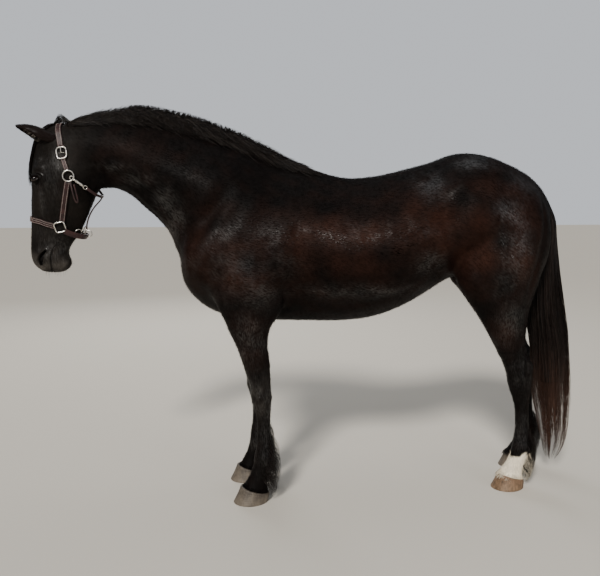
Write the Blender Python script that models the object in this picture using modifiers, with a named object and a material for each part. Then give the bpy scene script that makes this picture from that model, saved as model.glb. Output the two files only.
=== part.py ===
"""A black Friesian horse standing in a leather halter, life size, as separate solids.

Metres, +Z up. The horse faces -X and its left side is at -Y. The floor is at Z = 0.
The flesh is one body, lofted from stations measured along the horse, fused, shaped by its muscles
and parted with thin cuts. Hair, hooves, eyes, ears and halter are their own solids around it.
"""

import bmesh
import bpy
from math import cos, exp, pi, radians, sin
from mathutils import Matrix, Vector
from mathutils.bvhtree import BVHTree

# The sizes below are drawn from the floor midway between the fore feet.
# The finished horse is moved by this, so that it stands over the middle of its own box.
TO_MIDDLE = Vector((-0.3177, -0.0005, 0.0))

# Driving sizes of the horse.
RIGHT_FORE_STEP = -0.006  # how far the right fore foot stands behind the left one
RIGHT_HIND_STEP = 0.155  # how far the right hind foot stands behind the left one
HIP_Z = 1.378  # a hind leg swings from here
FORE_CUT_Z = 0.828  # the fore legs part from the trunk at this height
KNEE_CUT_Z = 0.478
HOCK_CUT_Z = 0.568
FETLOCK_CUT_Z = 0.143
GAP = 0.0003  # clearance between touching solids
FUSE_VOXEL = 0.011
FLESH_TRIANGLES = 2850

HEAD_TURN = radians(8.0)  # the head looks a little to its right
TURN_AXIS_X = -0.600
TURN_FROM_X = -0.340  # the neck starts to turn here
TURN_TO_X = -0.620  # and has turned fully here

EYE_CENTRE = Vector((-0.926, -0.0765, 1.501))
EYE_RADIUS = 0.0215
EAR_ROOT = Vector((-0.864, -0.060, 1.690))
EAR_TIP = Vector((-1.002, -0.078, 1.730))
EAR_WALL = 0.005
EAR_CLEARANCE = 0.0015  # over the skin

SOLE_LENGTH = 0.162
SOLE_WIDTH = 0.136
FORE_TOE_X = -0.086
HIND_TOE_X = 1.183
FOOT_SPREAD = 0.134  # from the middle plane to the middle of a foot
FORE_CORONET = (-0.050, 0.078, 0.084, 0.040)  # front x and z, then back x and z
HIND_CORONET = (1.218, 0.076, 1.344, 0.040)

STRAP_THICKNESS = 0.0045
STRAP_WIDTH = 0.025
STRAP_LIFT = 0.004  # between a strap and the skin
RING_RADIUS = 0.0225
RING_WIRE = 0.0032

RING_POINTS = 32
STEPS_BETWEEN = 4  # rings from one station to the next

# Stations of the trunk: x, lowest z, highest z, then the half-widths low, halfway up and high.
TRUNK = [
    (-0.306, 1.098, 1.213, 0.050, 0.060, 0.050),
    (-0.284, 1.013, 1.308, 0.125, 0.166, 0.100),
    (-0.240, 0.948, 1.398, 0.150, 0.208, 0.115),
    (-0.165, 0.894, 1.468, 0.160, 0.230, 0.110),
    (-0.050, 0.852, 1.528, 0.130, 0.246, 0.095),
    (0.100, 0.842, 1.568, 0.150, 0.260, 0.075),
    (0.200, 0.838, 1.578, 0.165, 0.270, 0.060),
    (0.300, 0.835, 1.556, 0.180, 0.284, 0.075),
    (0.450, 0.833, 1.516, 0.200, 0.304, 0.120),
    (0.600, 0.850, 1.523, 0.210, 0.314, 0.150),
    (0.750, 0.904, 1.556, 0.200, 0.310, 0.160),
    (0.880, 0.978, 1.591, 0.180, 0.296, 0.165),
    (0.970, 1.028, 1.630, 0.160, 0.288, 0.175),
    (1.060, 1.038, 1.640, 0.150, 0.286, 0.180),
    (1.160, 1.028, 1.621, 0.130, 0.274, 0.175),
    (1.270, 1.028, 1.579, 0.110, 0.240, 0.150),
    (1.360, 1.068, 1.534, 0.090, 0.196, 0.120),
    (1.425, 1.148, 1.478, 0.060, 0.136, 0.085),
    (1.468, 1.268, 1.408, 0.030, 0.060, 0.045),
]

# Stations of the neck: crest x and z, underside x and z,
# then the half-widths under, halfway and at the crest.
NECK = [
    (-0.850, 1.720, -0.740, 1.508, 0.050, 0.076, 0.048),
    (-0.770, 1.768, -0.668, 1.460, 0.052, 0.084, 0.040),
    (-0.660, 1.782, -0.590, 1.458, 0.060, 0.092, 0.036),
    (-0.530, 1.780, -0.520, 1.424, 0.066, 0.099, 0.034),
    (-0.400, 1.764, -0.465, 1.371, 0.072, 0.110, 0.034),
    (-0.265, 1.736, -0.412, 1.323, 0.082, 0.128, 0.034),
    (-0.125, 1.696, -0.360, 1.258, 0.100, 0.156, 0.034),
    (0.015, 1.652, -0.326, 1.168, 0.128, 0.188, 0.034),
    (0.130, 1.602, -0.280, 1.058, 0.150, 0.208, 0.034),
    (0.230, 1.570, -0.150, 0.958, 0.140, 0.214, 0.034),
]

# Stations of the head, from the poll down to the lips: z, foremost x, rearmost x,
# then the half-widths at the back, halfway and in front.
HEAD = [
    (1.742, -0.874, -0.786, 0.024, 0.034, 0.022),
    (1.716, -0.912, -0.745, 0.050, 0.062, 0.040),
    (1.674, -0.940, -0.700, 0.066, 0.078, 0.056),
    (1.623, -0.955, -0.664, 0.070, 0.087, 0.070),
    (1.568, -0.966, -0.650, 0.068, 0.095, 0.080),
    (1.508, -0.973, -0.654, 0.060, 0.099, 0.076),
    (1.448, -0.976, -0.675, 0.056, 0.090, 0.056),
    (1.388, -0.984, -0.700, 0.048, 0.078, 0.046),
    (1.328, -0.986, -0.727, 0.040, 0.067, 0.042),
    (1.268, -0.990, -0.754, 0.032, 0.058, 0.039),
    (1.213, -0.994, -0.795, 0.030, 0.053, 0.041),
    (1.173, -0.995, -0.818, 0.034, 0.056, 0.046),
    (1.138, -0.990, -0.808, 0.036, 0.058, 0.045),
    (1.106, -0.972, -0.812, 0.032, 0.050, 0.038),
    (1.078, -0.940, -0.850, 0.018, 0.030, 0.022),
]

# Stations of the left fore leg, downwards: z, foremost x, rearmost x, middle y,
# then the half-widths at the back, halfway and in front.
FORE_LEG = [
    (1.278, -0.160, 0.120, -0.165, 0.040, 0.060, 0.040),
    (1.098, -0.200, 0.160, -0.170, 0.055, 0.080, 0.055),
    (0.958, -0.160, 0.155, -0.165, 0.052, 0.078, 0.056),
    (0.878, -0.122, 0.112, -0.158, 0.042, 0.070, 0.052),
    (0.818, -0.100, 0.090, -0.150, 0.034, 0.061, 0.046),
    (0.748, -0.068, 0.085, -0.144, 0.030, 0.053, 0.041),
    (0.668, -0.041, 0.093, -0.139, 0.027, 0.046, 0.036),
    (0.588, -0.017, 0.098, -0.136, 0.027, 0.041, 0.033),
    (0.528, -0.002, 0.099, -0.134, 0.029, 0.043, 0.036),
    (0.488, 0.002, 0.101, -0.134, 0.030, 0.045, 0.038),
    (0.448, 0.010, 0.099, -0.134, 0.026, 0.040, 0.034),
    (0.403, 0.021, 0.097, -0.134, 0.020, 0.030, 0.024),
    (0.338, 0.023, 0.097, -0.134, 0.019, 0.028, 0.022),
    (0.278, 0.019, 0.103, -0.134, 0.021, 0.030, 0.023),
    (0.228, 0.011, 0.114, -0.134, 0.028, 0.041, 0.030),
    (0.193, 0.007, 0.115, -0.134, 0.028, 0.041, 0.030),
    (0.148, -0.005, 0.096, -0.134, 0.024, 0.034, 0.028),
    (0.103, -0.028, 0.082, -0.134, 0.028, 0.036, 0.032),
    (0.068, -0.045, 0.078, -0.134, 0.038, 0.046, 0.040),
    (0.038, -0.058, 0.082, -0.134, 0.040, 0.050, 0.044),
    (0.008, -0.066, 0.086, -0.134, 0.040, 0.050, 0.044),
]

# Stations of the left hind leg, with the same columns.
HIND_LEG = [
    (1.458, 1.060, 1.350, -0.150, 0.050, 0.090, 0.060),
    (1.338, 0.990, 1.405, -0.150, 0.080, 0.128, 0.080),
    (1.218, 0.952, 1.420, -0.152, 0.084, 0.134, 0.080),
    (1.108, 0.948, 1.398, -0.158, 0.078, 0.128, 0.078),
    (1.018, 0.966, 1.366, -0.162, 0.066, 0.112, 0.076),
    (0.938, 1.018, 1.340, -0.160, 0.054, 0.094, 0.070),
    (0.858, 1.078, 1.328, -0.154, 0.040, 0.076, 0.056),
    (0.778, 1.128, 1.326, -0.147, 0.030, 0.062, 0.048),
    (0.708, 1.172, 1.334, -0.141, 0.020, 0.051, 0.043),
    (0.658, 1.200, 1.354, -0.138, 0.019, 0.047, 0.042),
    (0.618, 1.218, 1.372, -0.136, 0.022, 0.047, 0.042),
    (0.568, 1.236, 1.374, -0.135, 0.024, 0.047, 0.043),
    (0.508, 1.249, 1.371, -0.134, 0.024, 0.044, 0.039),
    (0.458, 1.268, 1.366, -0.134, 0.022, 0.035, 0.028),
    (0.398, 1.283, 1.364, -0.134, 0.020, 0.029, 0.023),
    (0.318, 1.290, 1.366, -0.134, 0.020, 0.029, 0.023),
    (0.258, 1.286, 1.374, -0.134, 0.024, 0.033, 0.025),
    (0.213, 1.277, 1.386, -0.134, 0.029, 0.042, 0.031),
    (0.178, 1.273, 1.386, -0.134, 0.029, 0.041, 0.030),
    (0.138, 1.256, 1.368, -0.134, 0.025, 0.035, 0.028),
    (0.098, 1.228, 1.348, -0.134, 0.028, 0.036, 0.032),
    (0.068, 1.210, 1.342, -0.134, 0.036, 0.044, 0.039),
    (0.038, 1.198, 1.344, -0.134, 0.038, 0.048, 0.042),
    (0.008, 1.190, 1.346, -0.134, 0.038, 0.048, 0.042),
]

# Stations of the tail, from the dock down: inner x and z, outer x and z,
# then the half-widths at the inner edge, halfway and at the outer edge.
TAIL = [
    (1.395, 1.373, 1.413, 1.468, 0.020, 0.030, 0.020),
    (1.432, 1.348, 1.459, 1.428, 0.030, 0.040, 0.028),
    (1.448, 1.303, 1.488, 1.376, 0.036, 0.050, 0.036),
    (1.448, 1.243, 1.515, 1.313, 0.040, 0.060, 0.042),
    (1.426, 1.158, 1.526, 1.233, 0.044, 0.066, 0.046),
    (1.405, 1.058, 1.540, 1.133, 0.048, 0.072, 0.050),
    (1.392, 0.938, 1.563, 0.993, 0.052, 0.078, 0.055),
    (1.396, 0.818, 1.591, 0.853, 0.056, 0.084, 0.060),
    (1.414, 0.698, 1.619, 0.713, 0.058, 0.088, 0.062),
    (1.420, 0.578, 1.635, 0.578, 0.058, 0.090, 0.062),
    (1.430, 0.458, 1.643, 0.458, 0.056, 0.088, 0.060),
    (1.462, 0.338, 1.645, 0.338, 0.052, 0.080, 0.056),
    (1.480, 0.228, 1.643, 0.228, 0.044, 0.068, 0.048),
    (1.500, 0.148, 1.631, 0.148, 0.034, 0.052, 0.036),
    (1.520, 0.093, 1.595, 0.090, 0.020, 0.034, 0.022),
    (1.548, 0.068, 1.565, 0.067, 0.008, 0.012, 0.008),
]

# Stations of the forelock, from the poll down the forehead, in the same columns.
FORELOCK = [
    (-0.848, 1.708, -0.851, 1.786, 0.012, 0.014, 0.008),
    (-0.866, 1.700, -0.876, 1.770, 0.026, 0.032, 0.020),
    (-0.890, 1.678, -0.914, 1.734, 0.034, 0.042, 0.028),
    (-0.914, 1.648, -0.947, 1.684, 0.040, 0.048, 0.034),
    (-0.930, 1.603, -0.969, 1.622, 0.040, 0.048, 0.034),
    (-0.942, 1.553, -0.980, 1.562, 0.034, 0.042, 0.030),
    (-0.952, 1.503, -0.985, 1.506, 0.024, 0.030, 0.020),
    (-0.962, 1.466, -0.982, 1.467, 0.008, 0.012, 0.008),
]

# Stations of the mane: crest x and z, how high the hair stands over it,
# and how far it hangs on the right side.
MANE = [
    (-0.795, 1.746, 0.010, 0.050),
    (-0.760, 1.764, 0.014, 0.120),
    (-0.700, 1.776, 0.024, 0.190),
    (-0.600, 1.782, 0.036, 0.230),
    (-0.514, 1.778, 0.056, 0.250),
    (-0.400, 1.764, 0.056, 0.270),
    (-0.300, 1.742, 0.062, 0.290),
    (-0.179, 1.712, 0.058, 0.290),
    (-0.060, 1.676, 0.050, 0.260),
    (0.060, 1.632, 0.036, 0.200),
    (0.160, 1.590, 0.026, 0.130),
    (0.240, 1.574, 0.010, 0.050),
]
MANE_DEPTH = 0.020  # the thickness of the hair that hangs
MANE_PARTING = 0.022  # how far the roots reach down the left side

# Stations of the feather of a left leg, downwards: z, inner x, outer x, half-width.
FORE_FEATHER = [
    (0.348, 0.080, 0.108, 0.012),
    (0.291, 0.080, 0.122, 0.024),
    (0.242, 0.080, 0.137, 0.036),
    (0.192, 0.070, 0.139, 0.042),
    (0.143, 0.055, 0.138, 0.043),
    (0.088, 0.045, 0.129, 0.040),
    (0.038, 0.050, 0.114, 0.032),
    (0.008, 0.070, 0.098, 0.012),
]
HIND_FEATHER = [
    (0.318, 1.345, 1.375, 0.012),
    (0.258, 1.345, 1.388, 0.024),
    (0.210, 1.345, 1.403, 0.036),
    (0.163, 1.330, 1.405, 0.042),
    (0.113, 1.315, 1.396, 0.042),
    (0.063, 1.310, 1.380, 0.036),
    (0.023, 1.325, 1.362, 0.014),
]

# Muscles, bones and hollows of the left side: centre, half-length along the form, half-width across it,
# and how far it stands out, or lies in where that is negative. The right side is their mirror image.
FORMS = {
    "shoulder blade": ((0.00, -0.19, 1.338), (0.09, 0.0, 0.13), 0.050, 0.012),
    "triceps": ((0.07, -0.25, 1.088), (0.07, 0.0, 0.10), 0.085, 0.018),
    "point of shoulder": ((-0.22, -0.19, 1.108), (0.0, 0.0, 0.07), 0.065, 0.016),
    "breast muscle": ((-0.27, -0.095, 1.078), (0.0, 0.0, 0.09), 0.055, 0.012),
    "groove of the breast": ((-0.30, 0.0, 1.078), (0.0, 0.0, 0.12), 0.024, -0.010),
    "girth behind the elbow": ((0.19, -0.25, 1.028), (0.0, 0.0, 0.15), 0.045, -0.014),
    "elbow": ((0.115, -0.185, 0.903), (0.0, 0.0, 0.05), 0.040, 0.014),
    "hollow of the flank": ((0.90, -0.28, 1.328), (0.03, 0.0, 0.09), 0.075, -0.026),
    "point of hip": ((0.935, -0.25, 1.488), (0.02, 0.0, 0.03), 0.045, 0.020),
    "rump muscle": ((1.12, -0.18, 1.518), (0.12, 0.0, -0.03), 0.100, 0.014),
    "groove of the rump": ((1.15, 0.0, 1.628), (0.20, 0.0, -0.03), 0.030, -0.012),
    "thigh muscle": ((1.22, -0.25, 1.238), (0.03, 0.0, 0.15), 0.100, 0.014),
    "ham groove": ((1.355, -0.19, 1.148), (-0.03, 0.0, 0.17), 0.022, -0.008),
    "cleft behind": ((1.43, 0.0, 1.178), (-0.03, 0.0, 0.22), 0.040, -0.060),
    "stifle": ((1.00, -0.24, 1.018), (0.02, 0.0, 0.06), 0.055, 0.018),
    "second thigh": ((1.19, -0.19, 0.808), (0.03, 0.0, -0.08), 0.045, 0.010),
    "cheek": ((-0.765, -0.085, 1.453), (0.01, 0.0, 0.06), 0.070, 0.012),
    "face ridge": ((-0.912, -0.080, 1.403), (0.004, 0.0, 0.06), 0.016, 0.009),
    "brow": ((-0.934, -0.082, 1.540), (0.012, 0.0, 0.015), 0.024, 0.012),
    "rim of the eye socket": ((-0.922, -0.086, 1.502), (0.0, 0.0, 0.0), 0.034, 0.009),
    "temple": ((-0.890, -0.080, 1.613), (0.0, 0.0, 0.02), 0.028, -0.010),
    "bridge hollow": ((-0.930, -0.050, 1.308), (0.0, 0.0, 0.06), 0.026, -0.006),
    "nostril": ((-0.935, -0.050, 1.143), (0.008, 0.0, 0.018), 0.022, 0.009),
    "lip line": ((-0.880, -0.050, 1.143), (0.008, 0.0, 0.05), 0.009, -0.004),
    "jaw groove": ((-0.800, -0.020, 1.268), (-0.04, 0.0, -0.05), 0.016, -0.003),
    "gullet": ((-0.655, -0.060, 1.498), (0.0, 0.0, 0.06), 0.035, -0.014),
    "vein groove": ((-0.440, -0.095, 1.408), (0.13, 0.0, -0.12), 0.028, -0.014),
    "neck muscle": ((-0.330, -0.130, 1.518), (0.20, 0.0, -0.10), 0.070, 0.012),
    "hollow before the shoulder": ((-0.13, -0.19, 1.398), (0.10, 0.0, 0.12), 0.036, -0.016),
    "tendon groove of the fore leg": ((0.066, -0.165, 0.348), (0.0, 0.0, 0.06), 0.010, -0.004),
    "tendon groove of the hind leg": ((1.334, -0.165, 0.368), (0.0, 0.0, 0.06), 0.010, -0.004),
    "hollow above the hock": ((1.315, -0.165, 0.693), (-0.015, 0.0, 0.03), 0.018, -0.012),
}

LEATHER = ("halter_leather", (0.115, 0.040, 0.026), 0.45, 0.0)
METAL = ("halter_metal", (0.72, 0.66, 0.55), 0.28, 1.0)
COAT = ("coat", (0.014, 0.010, 0.009), 0.42, 0.0)
HAIR = ("long_hair", (0.010, 0.008, 0.008), 0.50, 0.0)
SOCK = ("white_sock", (0.62, 0.58, 0.52), 0.60, 0.0)
DARK_HORN = ("dark_horn", (0.070, 0.055, 0.045), 0.55, 0.0)
PALE_HORN = ("pale_horn", (0.52, 0.34, 0.24), 0.55, 0.0)
EYE = ("eye", (0.012, 0.006, 0.004), 0.05, 0.0)


def material(finish):
    """The Principled material of this finish: its name, colour, roughness and metallic value."""
    name, colour, roughness, metallic = finish
    found = bpy.data.materials.get(name)
    if found:
        return found
    made = bpy.data.materials.new(name)
    made.use_nodes = True
    shader = made.node_tree.nodes["Principled BSDF"]
    shader.inputs["Base Color"].default_value = (*colour, 1.0)
    shader.inputs["Roughness"].default_value = roughness
    shader.inputs["Metallic"].default_value = metallic
    made.diffuse_color = (*colour, 1.0)
    return made


def collection(name, shown=True):
    made = bpy.data.collections.new(name)
    bpy.context.scene.collection.children.link(made)
    made.hide_render = not shown
    return made


def object_from(mesh_data, name, group, finish=None):
    """A new object that holds this bmesh, which is freed."""
    mesh = bpy.data.meshes.new(name)
    mesh_data.to_mesh(mesh)
    mesh_data.free()
    made = bpy.data.objects.new(name, mesh)
    group.objects.link(made)
    if finish:
        mesh.materials.append(material(finish))
    if group.hide_render:
        made.hide_render = True
        made.display_type = "WIRE"
    return made


def evaluated_mesh(obj):
    """The object's mesh after its modifiers, as new data."""
    bpy.context.view_layer.update()
    graph = bpy.context.evaluated_depsgraph_get()
    return bpy.data.meshes.new_from_object(obj.evaluated_get(graph))


def apply_modifiers(obj):
    mesh = evaluated_mesh(obj)
    obj.modifiers.clear()
    obj.data = mesh


def between(t, a, b, c, d):
    """A value between b and c, on a smooth curve that also knows their neighbours a and d."""
    square = (2 * a - 5 * b + 4 * c - d) * t * t
    cube = (3 * b - a - 3 * c + d) * t ** 3
    return 0.5 * (2 * b + (c - a) * t + square + cube)


def smooth_rows(rows, steps=STEPS_BETWEEN):
    """Rows of numbers, with more rows between them on a smooth curve through each column."""
    dense = []
    for i in range(len(rows) - 1):
        before, here, there, after = (rows[max(0, min(len(rows) - 1, i + k))] for k in (-1, 0, 1, 2))
        for step in range(steps):
            dense.append(tuple(
                between(step / steps, *column) for column in zip(before, here, there, after)
            ))
    dense.append(tuple(rows[-1]))
    return dense


def squared(value, squareness):
    """A sine or cosine drawn towards 1 or -1, which makes an oval boxier."""
    return (abs(value) ** squareness) * (1 if value >= 0 else -1)


def oval(low, high, widths, middle_y=0.0, squareness=1.0, points=RING_POINTS):
    """A ring round the line from low to high, in the plane that holds that line and Y.

    The three half-widths are those near the low end, halfway and near the high end.
    """
    low, high = Vector((low[0], 0.0, low[1])), Vector((high[0], 0.0, high[1]))
    middle, reach = (low + high) / 2, (high - low) / 2
    near_low, halfway, near_high = widths
    ring = []
    for i in range(points):
        angle = 2 * pi * i / points
        along = squared(cos(angle), squareness)
        end_width = near_high if along > 0 else near_low
        width = halfway + (end_width - halfway) * along * along
        across = width * squared(sin(angle), squareness)
        ring.append(middle + reach * along + Vector((0.0, middle_y + across, 0.0)))
    return ring


def loft(rings):
    """A closed bmesh through these rings, which have as many points each; the ends are closed in strips."""
    made = bmesh.new()
    rows = [[made.verts.new(point) for point in ring] for ring in rings]
    count = len(rows[0])
    for row, following in zip(rows, rows[1:]):
        for i in range(count):
            j = (i + 1) % count
            made.faces.new((row[i], row[j], following[j], following[i]))
    for row in (rows[0], rows[-1]):
        for i in range(count // 2 - 1):
            made.faces.new((row[i], row[i + 1], row[count - 2 - i], row[count - 1 - i]))
    bmesh.ops.recalc_face_normals(made, faces=made.faces)
    return made


def loop_loft(rings):
    """A closed bmesh through rings of which the last joins the first."""
    made = bmesh.new()
    rows = [[made.verts.new(point) for point in ring] for ring in rings]
    count = len(rows[0])
    for row, following in zip(rows, rows[1:] + rows[:1]):
        for i in range(count):
            j = (i + 1) % count
            made.faces.new((row[i], row[j], following[j], following[i]))
    bmesh.ops.recalc_face_normals(made, faces=made.faces)
    return made


def trunk_rings():
    return [
        oval((x, low), (x, high), widths, squareness=0.92)
        for x, low, high, *widths in smooth_rows(TRUNK)
    ]


def neck_rings():
    return [
        oval((under_x, under_z), (crest_x, crest_z), widths, squareness=0.92)
        for crest_x, crest_z, under_x, under_z, *widths in smooth_rows(NECK)
    ]


def head_rings():
    return [
        oval((rear, z), (front, z), widths, squareness=0.80)
        for z, front, rear, *widths in smooth_rows(HEAD)
    ]


def stride(z, step):
    """How far a leg that stands back has moved at this height: all of it at the foot, nothing at the hip."""
    down = min(1.0, max(0.0, (HIP_Z - z) / (HIP_Z - 0.06)))
    return step * (1.0 - (1.0 - down) ** 2.2)


def leg_rings(stations, side, step):
    """The rings of a leg. side is -1 for the left leg and 1 for the right one."""
    return [
        oval((rear + stride(z, step), z), (front + stride(z, step), z), widths, -side * middle_y, 0.88)
        for z, front, rear, middle_y, *widths in smooth_rows(stations)
    ]


def fused_flesh(group):
    """Head, neck, trunk and legs as one closed skin, before it is parted."""
    whole = bmesh.new()
    lofts = [trunk_rings(), neck_rings(), head_rings()]
    for side, fore_step, hind_step in ((-1, 0.0, 0.0), (1, RIGHT_FORE_STEP, RIGHT_HIND_STEP)):
        lofts.append(leg_rings(FORE_LEG, side, fore_step))
        lofts.append(leg_rings(HIND_LEG, side, hind_step))
    for rings in lofts:
        piece = loft(rings)
        mesh = bpy.data.meshes.new("loft")
        piece.to_mesh(mesh)
        piece.free()
        whole.from_mesh(mesh)
        bpy.data.meshes.remove(mesh)
    flesh = object_from(whole, "flesh", group)
    fuse = flesh.modifiers.new("fuse", "REMESH")
    fuse.mode = "VOXEL"
    fuse.voxel_size = FUSE_VOXEL
    soften = flesh.modifiers.new("soften", "SMOOTH")
    soften.factor = 0.5
    soften.iterations = 7
    apply_modifiers(flesh)
    return flesh


def step_of(point):
    """How far the stance of the right legs moves a form at this point."""
    if point.y <= 0:
        return 0.0
    if point.x > 0.6:
        return stride(point.z, RIGHT_HIND_STEP)
    return stride(point.z, RIGHT_FORE_STEP) if point.z < 0.9 else 0.0


def shape_forms(flesh):
    """Raises and sinks the skin along its normals where the forms lie, on both sides."""
    forms = []
    for (x, y, z), along, width, lift in FORMS.values():
        for side in (1, -1) if y else (1,):
            centre = Vector((x, side * y, z))
            centre.x += step_of(centre)
            length = Vector(along)
            forms.append((centre, length.normalized(), length.length, width, lift))
    mesh = flesh.data
    normals = [Vector(n.vector) for n in mesh.vertex_normals]
    moved = []
    for vertex, normal in zip(mesh.vertices, normals):
        shift = 0.0
        for centre, direction, length, width, lift in forms:
            away = vertex.co - centre
            if away.length > 2.2 * (length + width):
                continue
            along = away.dot(direction)
            across = (away - direction * along).length
            shift += lift * exp(-((along / (length + width)) ** 2) * 1.6 - (across / width) ** 2)
        moved.append(vertex.co + normal * shift)
    for vertex, place in zip(mesh.vertices, moved):
        vertex.co = place


def thin_out(flesh, triangles):
    """Fewer triangles, with more of them kept on the head and the lower legs."""
    mesh = flesh.data
    coarse = flesh.vertex_groups.new(name="coarse")
    for vertex in mesh.vertices:
        fine = vertex.co.x < -0.66 or vertex.co.z < 0.60
        coarse.add([vertex.index], 0.92 if fine else 1.0, "REPLACE")
    total = sum(len(face.vertices) - 2 for face in mesh.polygons)
    thin = flesh.modifiers.new("thin out", "DECIMATE")
    thin.ratio = triangles / total
    thin.vertex_group = coarse.name
    thin.vertex_group_factor = 0.25
    thin.use_collapse_triangulate = True
    apply_modifiers(flesh)


def cut_away(mesh_data, point, normal):
    """Removes what lies beyond the plane, on the side its normal points to, and closes the cut."""
    everything = list(mesh_data.verts) + list(mesh_data.edges) + list(mesh_data.faces)
    cut = bmesh.ops.bisect_plane(
        mesh_data, geom=everything, dist=1e-6, plane_co=point, plane_no=normal, clear_outer=True
    )
    rim = [e for e in cut["geom_cut"] if isinstance(e, bmesh.types.BMEdge) and e.is_boundary]
    if rim:
        bmesh.ops.holes_fill(mesh_data, edges=rim)
        bmesh.ops.triangulate(mesh_data, faces=[f for f in mesh_data.faces if len(f.verts) > 3])


def part_within(source, name, planes, group, finish):
    """The part of a closed mesh that lies behind all of these planes, each a point and a normal."""
    piece = bmesh.new()
    piece.from_mesh(source.data)
    for point, normal in planes:
        normal = Vector(normal).normalized()
        cut_away(piece, Vector(point) - normal * GAP / 2, normal)
    return object_from(piece, name, group, finish)


def across(front, back):
    """The normal of a plane that holds Y and the line between two points (x, z); it faces down or back."""
    return (back[1] - front[1], 0.0, front[0] - back[0])


def part_flesh(flesh, group):
    """The thin cuts between head, neck, trunk and the parts of each leg."""
    throat, poll = (-0.650, 1.452), (-0.757, 1.778)
    head_cut = ((throat[0], 0.0, throat[1]), across(throat, poll))
    chest, withers = (-0.316, 1.168), (0.030, 1.658)
    neck_cut = ((chest[0], 0.0, chest[1]), across(chest, withers))
    fold, buttock = (0.985, 1.008), (1.420, 1.278)
    thigh_cut = ((fold[0], 0.0, fold[1]), across(fold, buttock))
    fore_cut = ((0.0, 0.0, FORE_CUT_Z), (0.0, 0.0, -1.0))
    pieces = [
        part_within(flesh, "head", [towards(head_cut, -1, 0)], group, COAT),
        part_within(flesh, "neck", [towards(head_cut, 1, 0), towards(neck_cut, -1, 0)], group, COAT),
        part_within(
            flesh, "trunk",
            [towards(neck_cut, 1, 0), towards(fore_cut, 0, 1), towards(thigh_cut, 0, 1)], group, COAT,
        ),
    ]
    for side, hand in ((-1, "left"), (1, "right")):
        own_side = ((0.0, 0.0, 0.0), (0.0, -side, 0.0))
        for fore, top, joint, joint_z, coronet, name in (
            (True, fore_cut, "forearm", KNEE_CUT_Z, FORE_CORONET, "foreleg"),
            (False, thigh_cut, "thigh", HOCK_CUT_Z, HIND_CORONET, "hindleg"),
        ):
            half = ((0.6, 0.0, 0.0), (1.0 if fore else -1.0, 0.0, 0.0))
            upper = ((0.0, 0.0, joint_z), (0.0, 0.0, -1.0))
            fetlock = ((0.0, 0.0, FETLOCK_CUT_Z), (0.0, 0.0, -1.0))
            step = foot_step(fore, side)
            front_x, front_z, back_x, back_z = coronet
            foot = ((front_x + step, 0.0, front_z), across((front_x, front_z), (back_x, back_z)))
            sock = SOCK if (side, fore) == (-1, False) else COAT
            sides = [own_side, half]
            pieces += [
                part_within(
                    flesh, f"{name}_{hand}.{joint}", [towards(top, 0, -1), upper] + sides, group, COAT
                ),
                part_within(
                    flesh, f"{name}_{hand}.cannon", [towards(upper, 0, -1), fetlock] + sides, group, COAT
                ),
                part_within(
                    flesh, f"{name}_{hand}.pastern", [towards(fetlock, 0, -1), towards(foot, 0, 1)] + sides,
                    group, sock,
                ),
            ]
    return pieces


def towards(plane, x, z):
    """The plane turned so that what lies on this side of it is kept: its normal faces the other way."""
    point, normal = plane
    facing = normal[0] * x + normal[2] * z
    return (point, tuple(-n for n in normal)) if facing > 0 else (point, normal)


def foot_step(fore, side):
    if side < 0:
        return 0.0
    return RIGHT_FORE_STEP if fore else RIGHT_HIND_STEP


def hoof(name, fore, side, group, finish):
    """A hoof: the wall between its flat sole and the coronet."""
    step = foot_step(fore, side)
    toe = (FORE_TOE_X if fore else HIND_TOE_X) + step
    front_x, front_z, back_x, back_z = FORE_CORONET if fore else HIND_CORONET
    middle = Vector((toe + SOLE_LENGTH / 2, side * FOOT_SPREAD, 0.0))
    top = Vector(((front_x + back_x) / 2 + step, side * FOOT_SPREAD, (front_z + back_z) / 2))
    slope = Vector((back_x - front_x, 0.0, back_z - front_z)) / 2
    down = Vector(across((front_x, front_z), (back_x, back_z))).normalized()
    if down.z > 0:
        down = -down
    rings = []
    for level in (0.0, 0.08, 0.92, 1.0):
        ring = []
        for i in range(20):
            angle = 2 * pi * i / 20
            narrow = 1.0 - 0.10 * max(0.0, cos(angle))
            ahead, aside = cos(angle), sin(angle) * narrow
            sole = middle + Vector((ahead * SOLE_LENGTH / 2, aside * SOLE_WIDTH / 2, 0.0))
            coronet = top + slope * ahead + Vector((0.0, aside * 0.052, 0.0)) + down * GAP / 2
            bevel = 0.975 if level in (0.0, 1.0) else 1.0
            place = sole.lerp(coronet, level)
            axis = middle.lerp(top, level)
            ring.append(axis + (place - axis) * bevel)
        rings.append(ring)
    return object_from(loft(rings), name, group, finish)


def ear(name, side, skin, group):
    """A cupped ear, its back up and its opening facing down and outwards, cut level on the skin."""
    root, tip = mirrored(EAR_ROOT, side), mirrored(EAR_TIP, side)
    axis = (tip - root).normalized()
    up = Vector((0.10, -side * 0.42, 1.0))
    up = (up - axis * up.dot(axis)).normalized()
    out = axis.cross(up)
    length = (tip - root).length
    rings = []
    for along, half_width, opening in (
        (-0.10, 0.025, 168),
        (0.03, 0.029, 163),
        (0.20, 0.034, 145),
        (0.45, 0.035, 114),
        (0.70, 0.028, 98),
        (0.86, 0.018, 90),
        (1.0, 0.004, 84),
    ):
        centre = root + axis * length * along - up * half_width * 0.4
        wall = min(EAR_WALL, half_width * 0.40)
        bend = [radians(opening) * (k / 3 - 1) for k in range(7)]
        outer = [centre + up * cos(a) * half_width + out * sin(a) * half_width for a in bend]
        inner_width = half_width - wall
        inner = [centre + up * cos(a) * inner_width + out * sin(a) * inner_width for a in reversed(bend)]
        rings.append(outer + inner)
    whole = loft(rings)
    place, normal = skin.find_nearest(root + axis * 0.004)[:2]
    cut_away(whole, place + normal * EAR_CLEARANCE, -normal)
    return object_from(whole, name, group, COAT)


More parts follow.
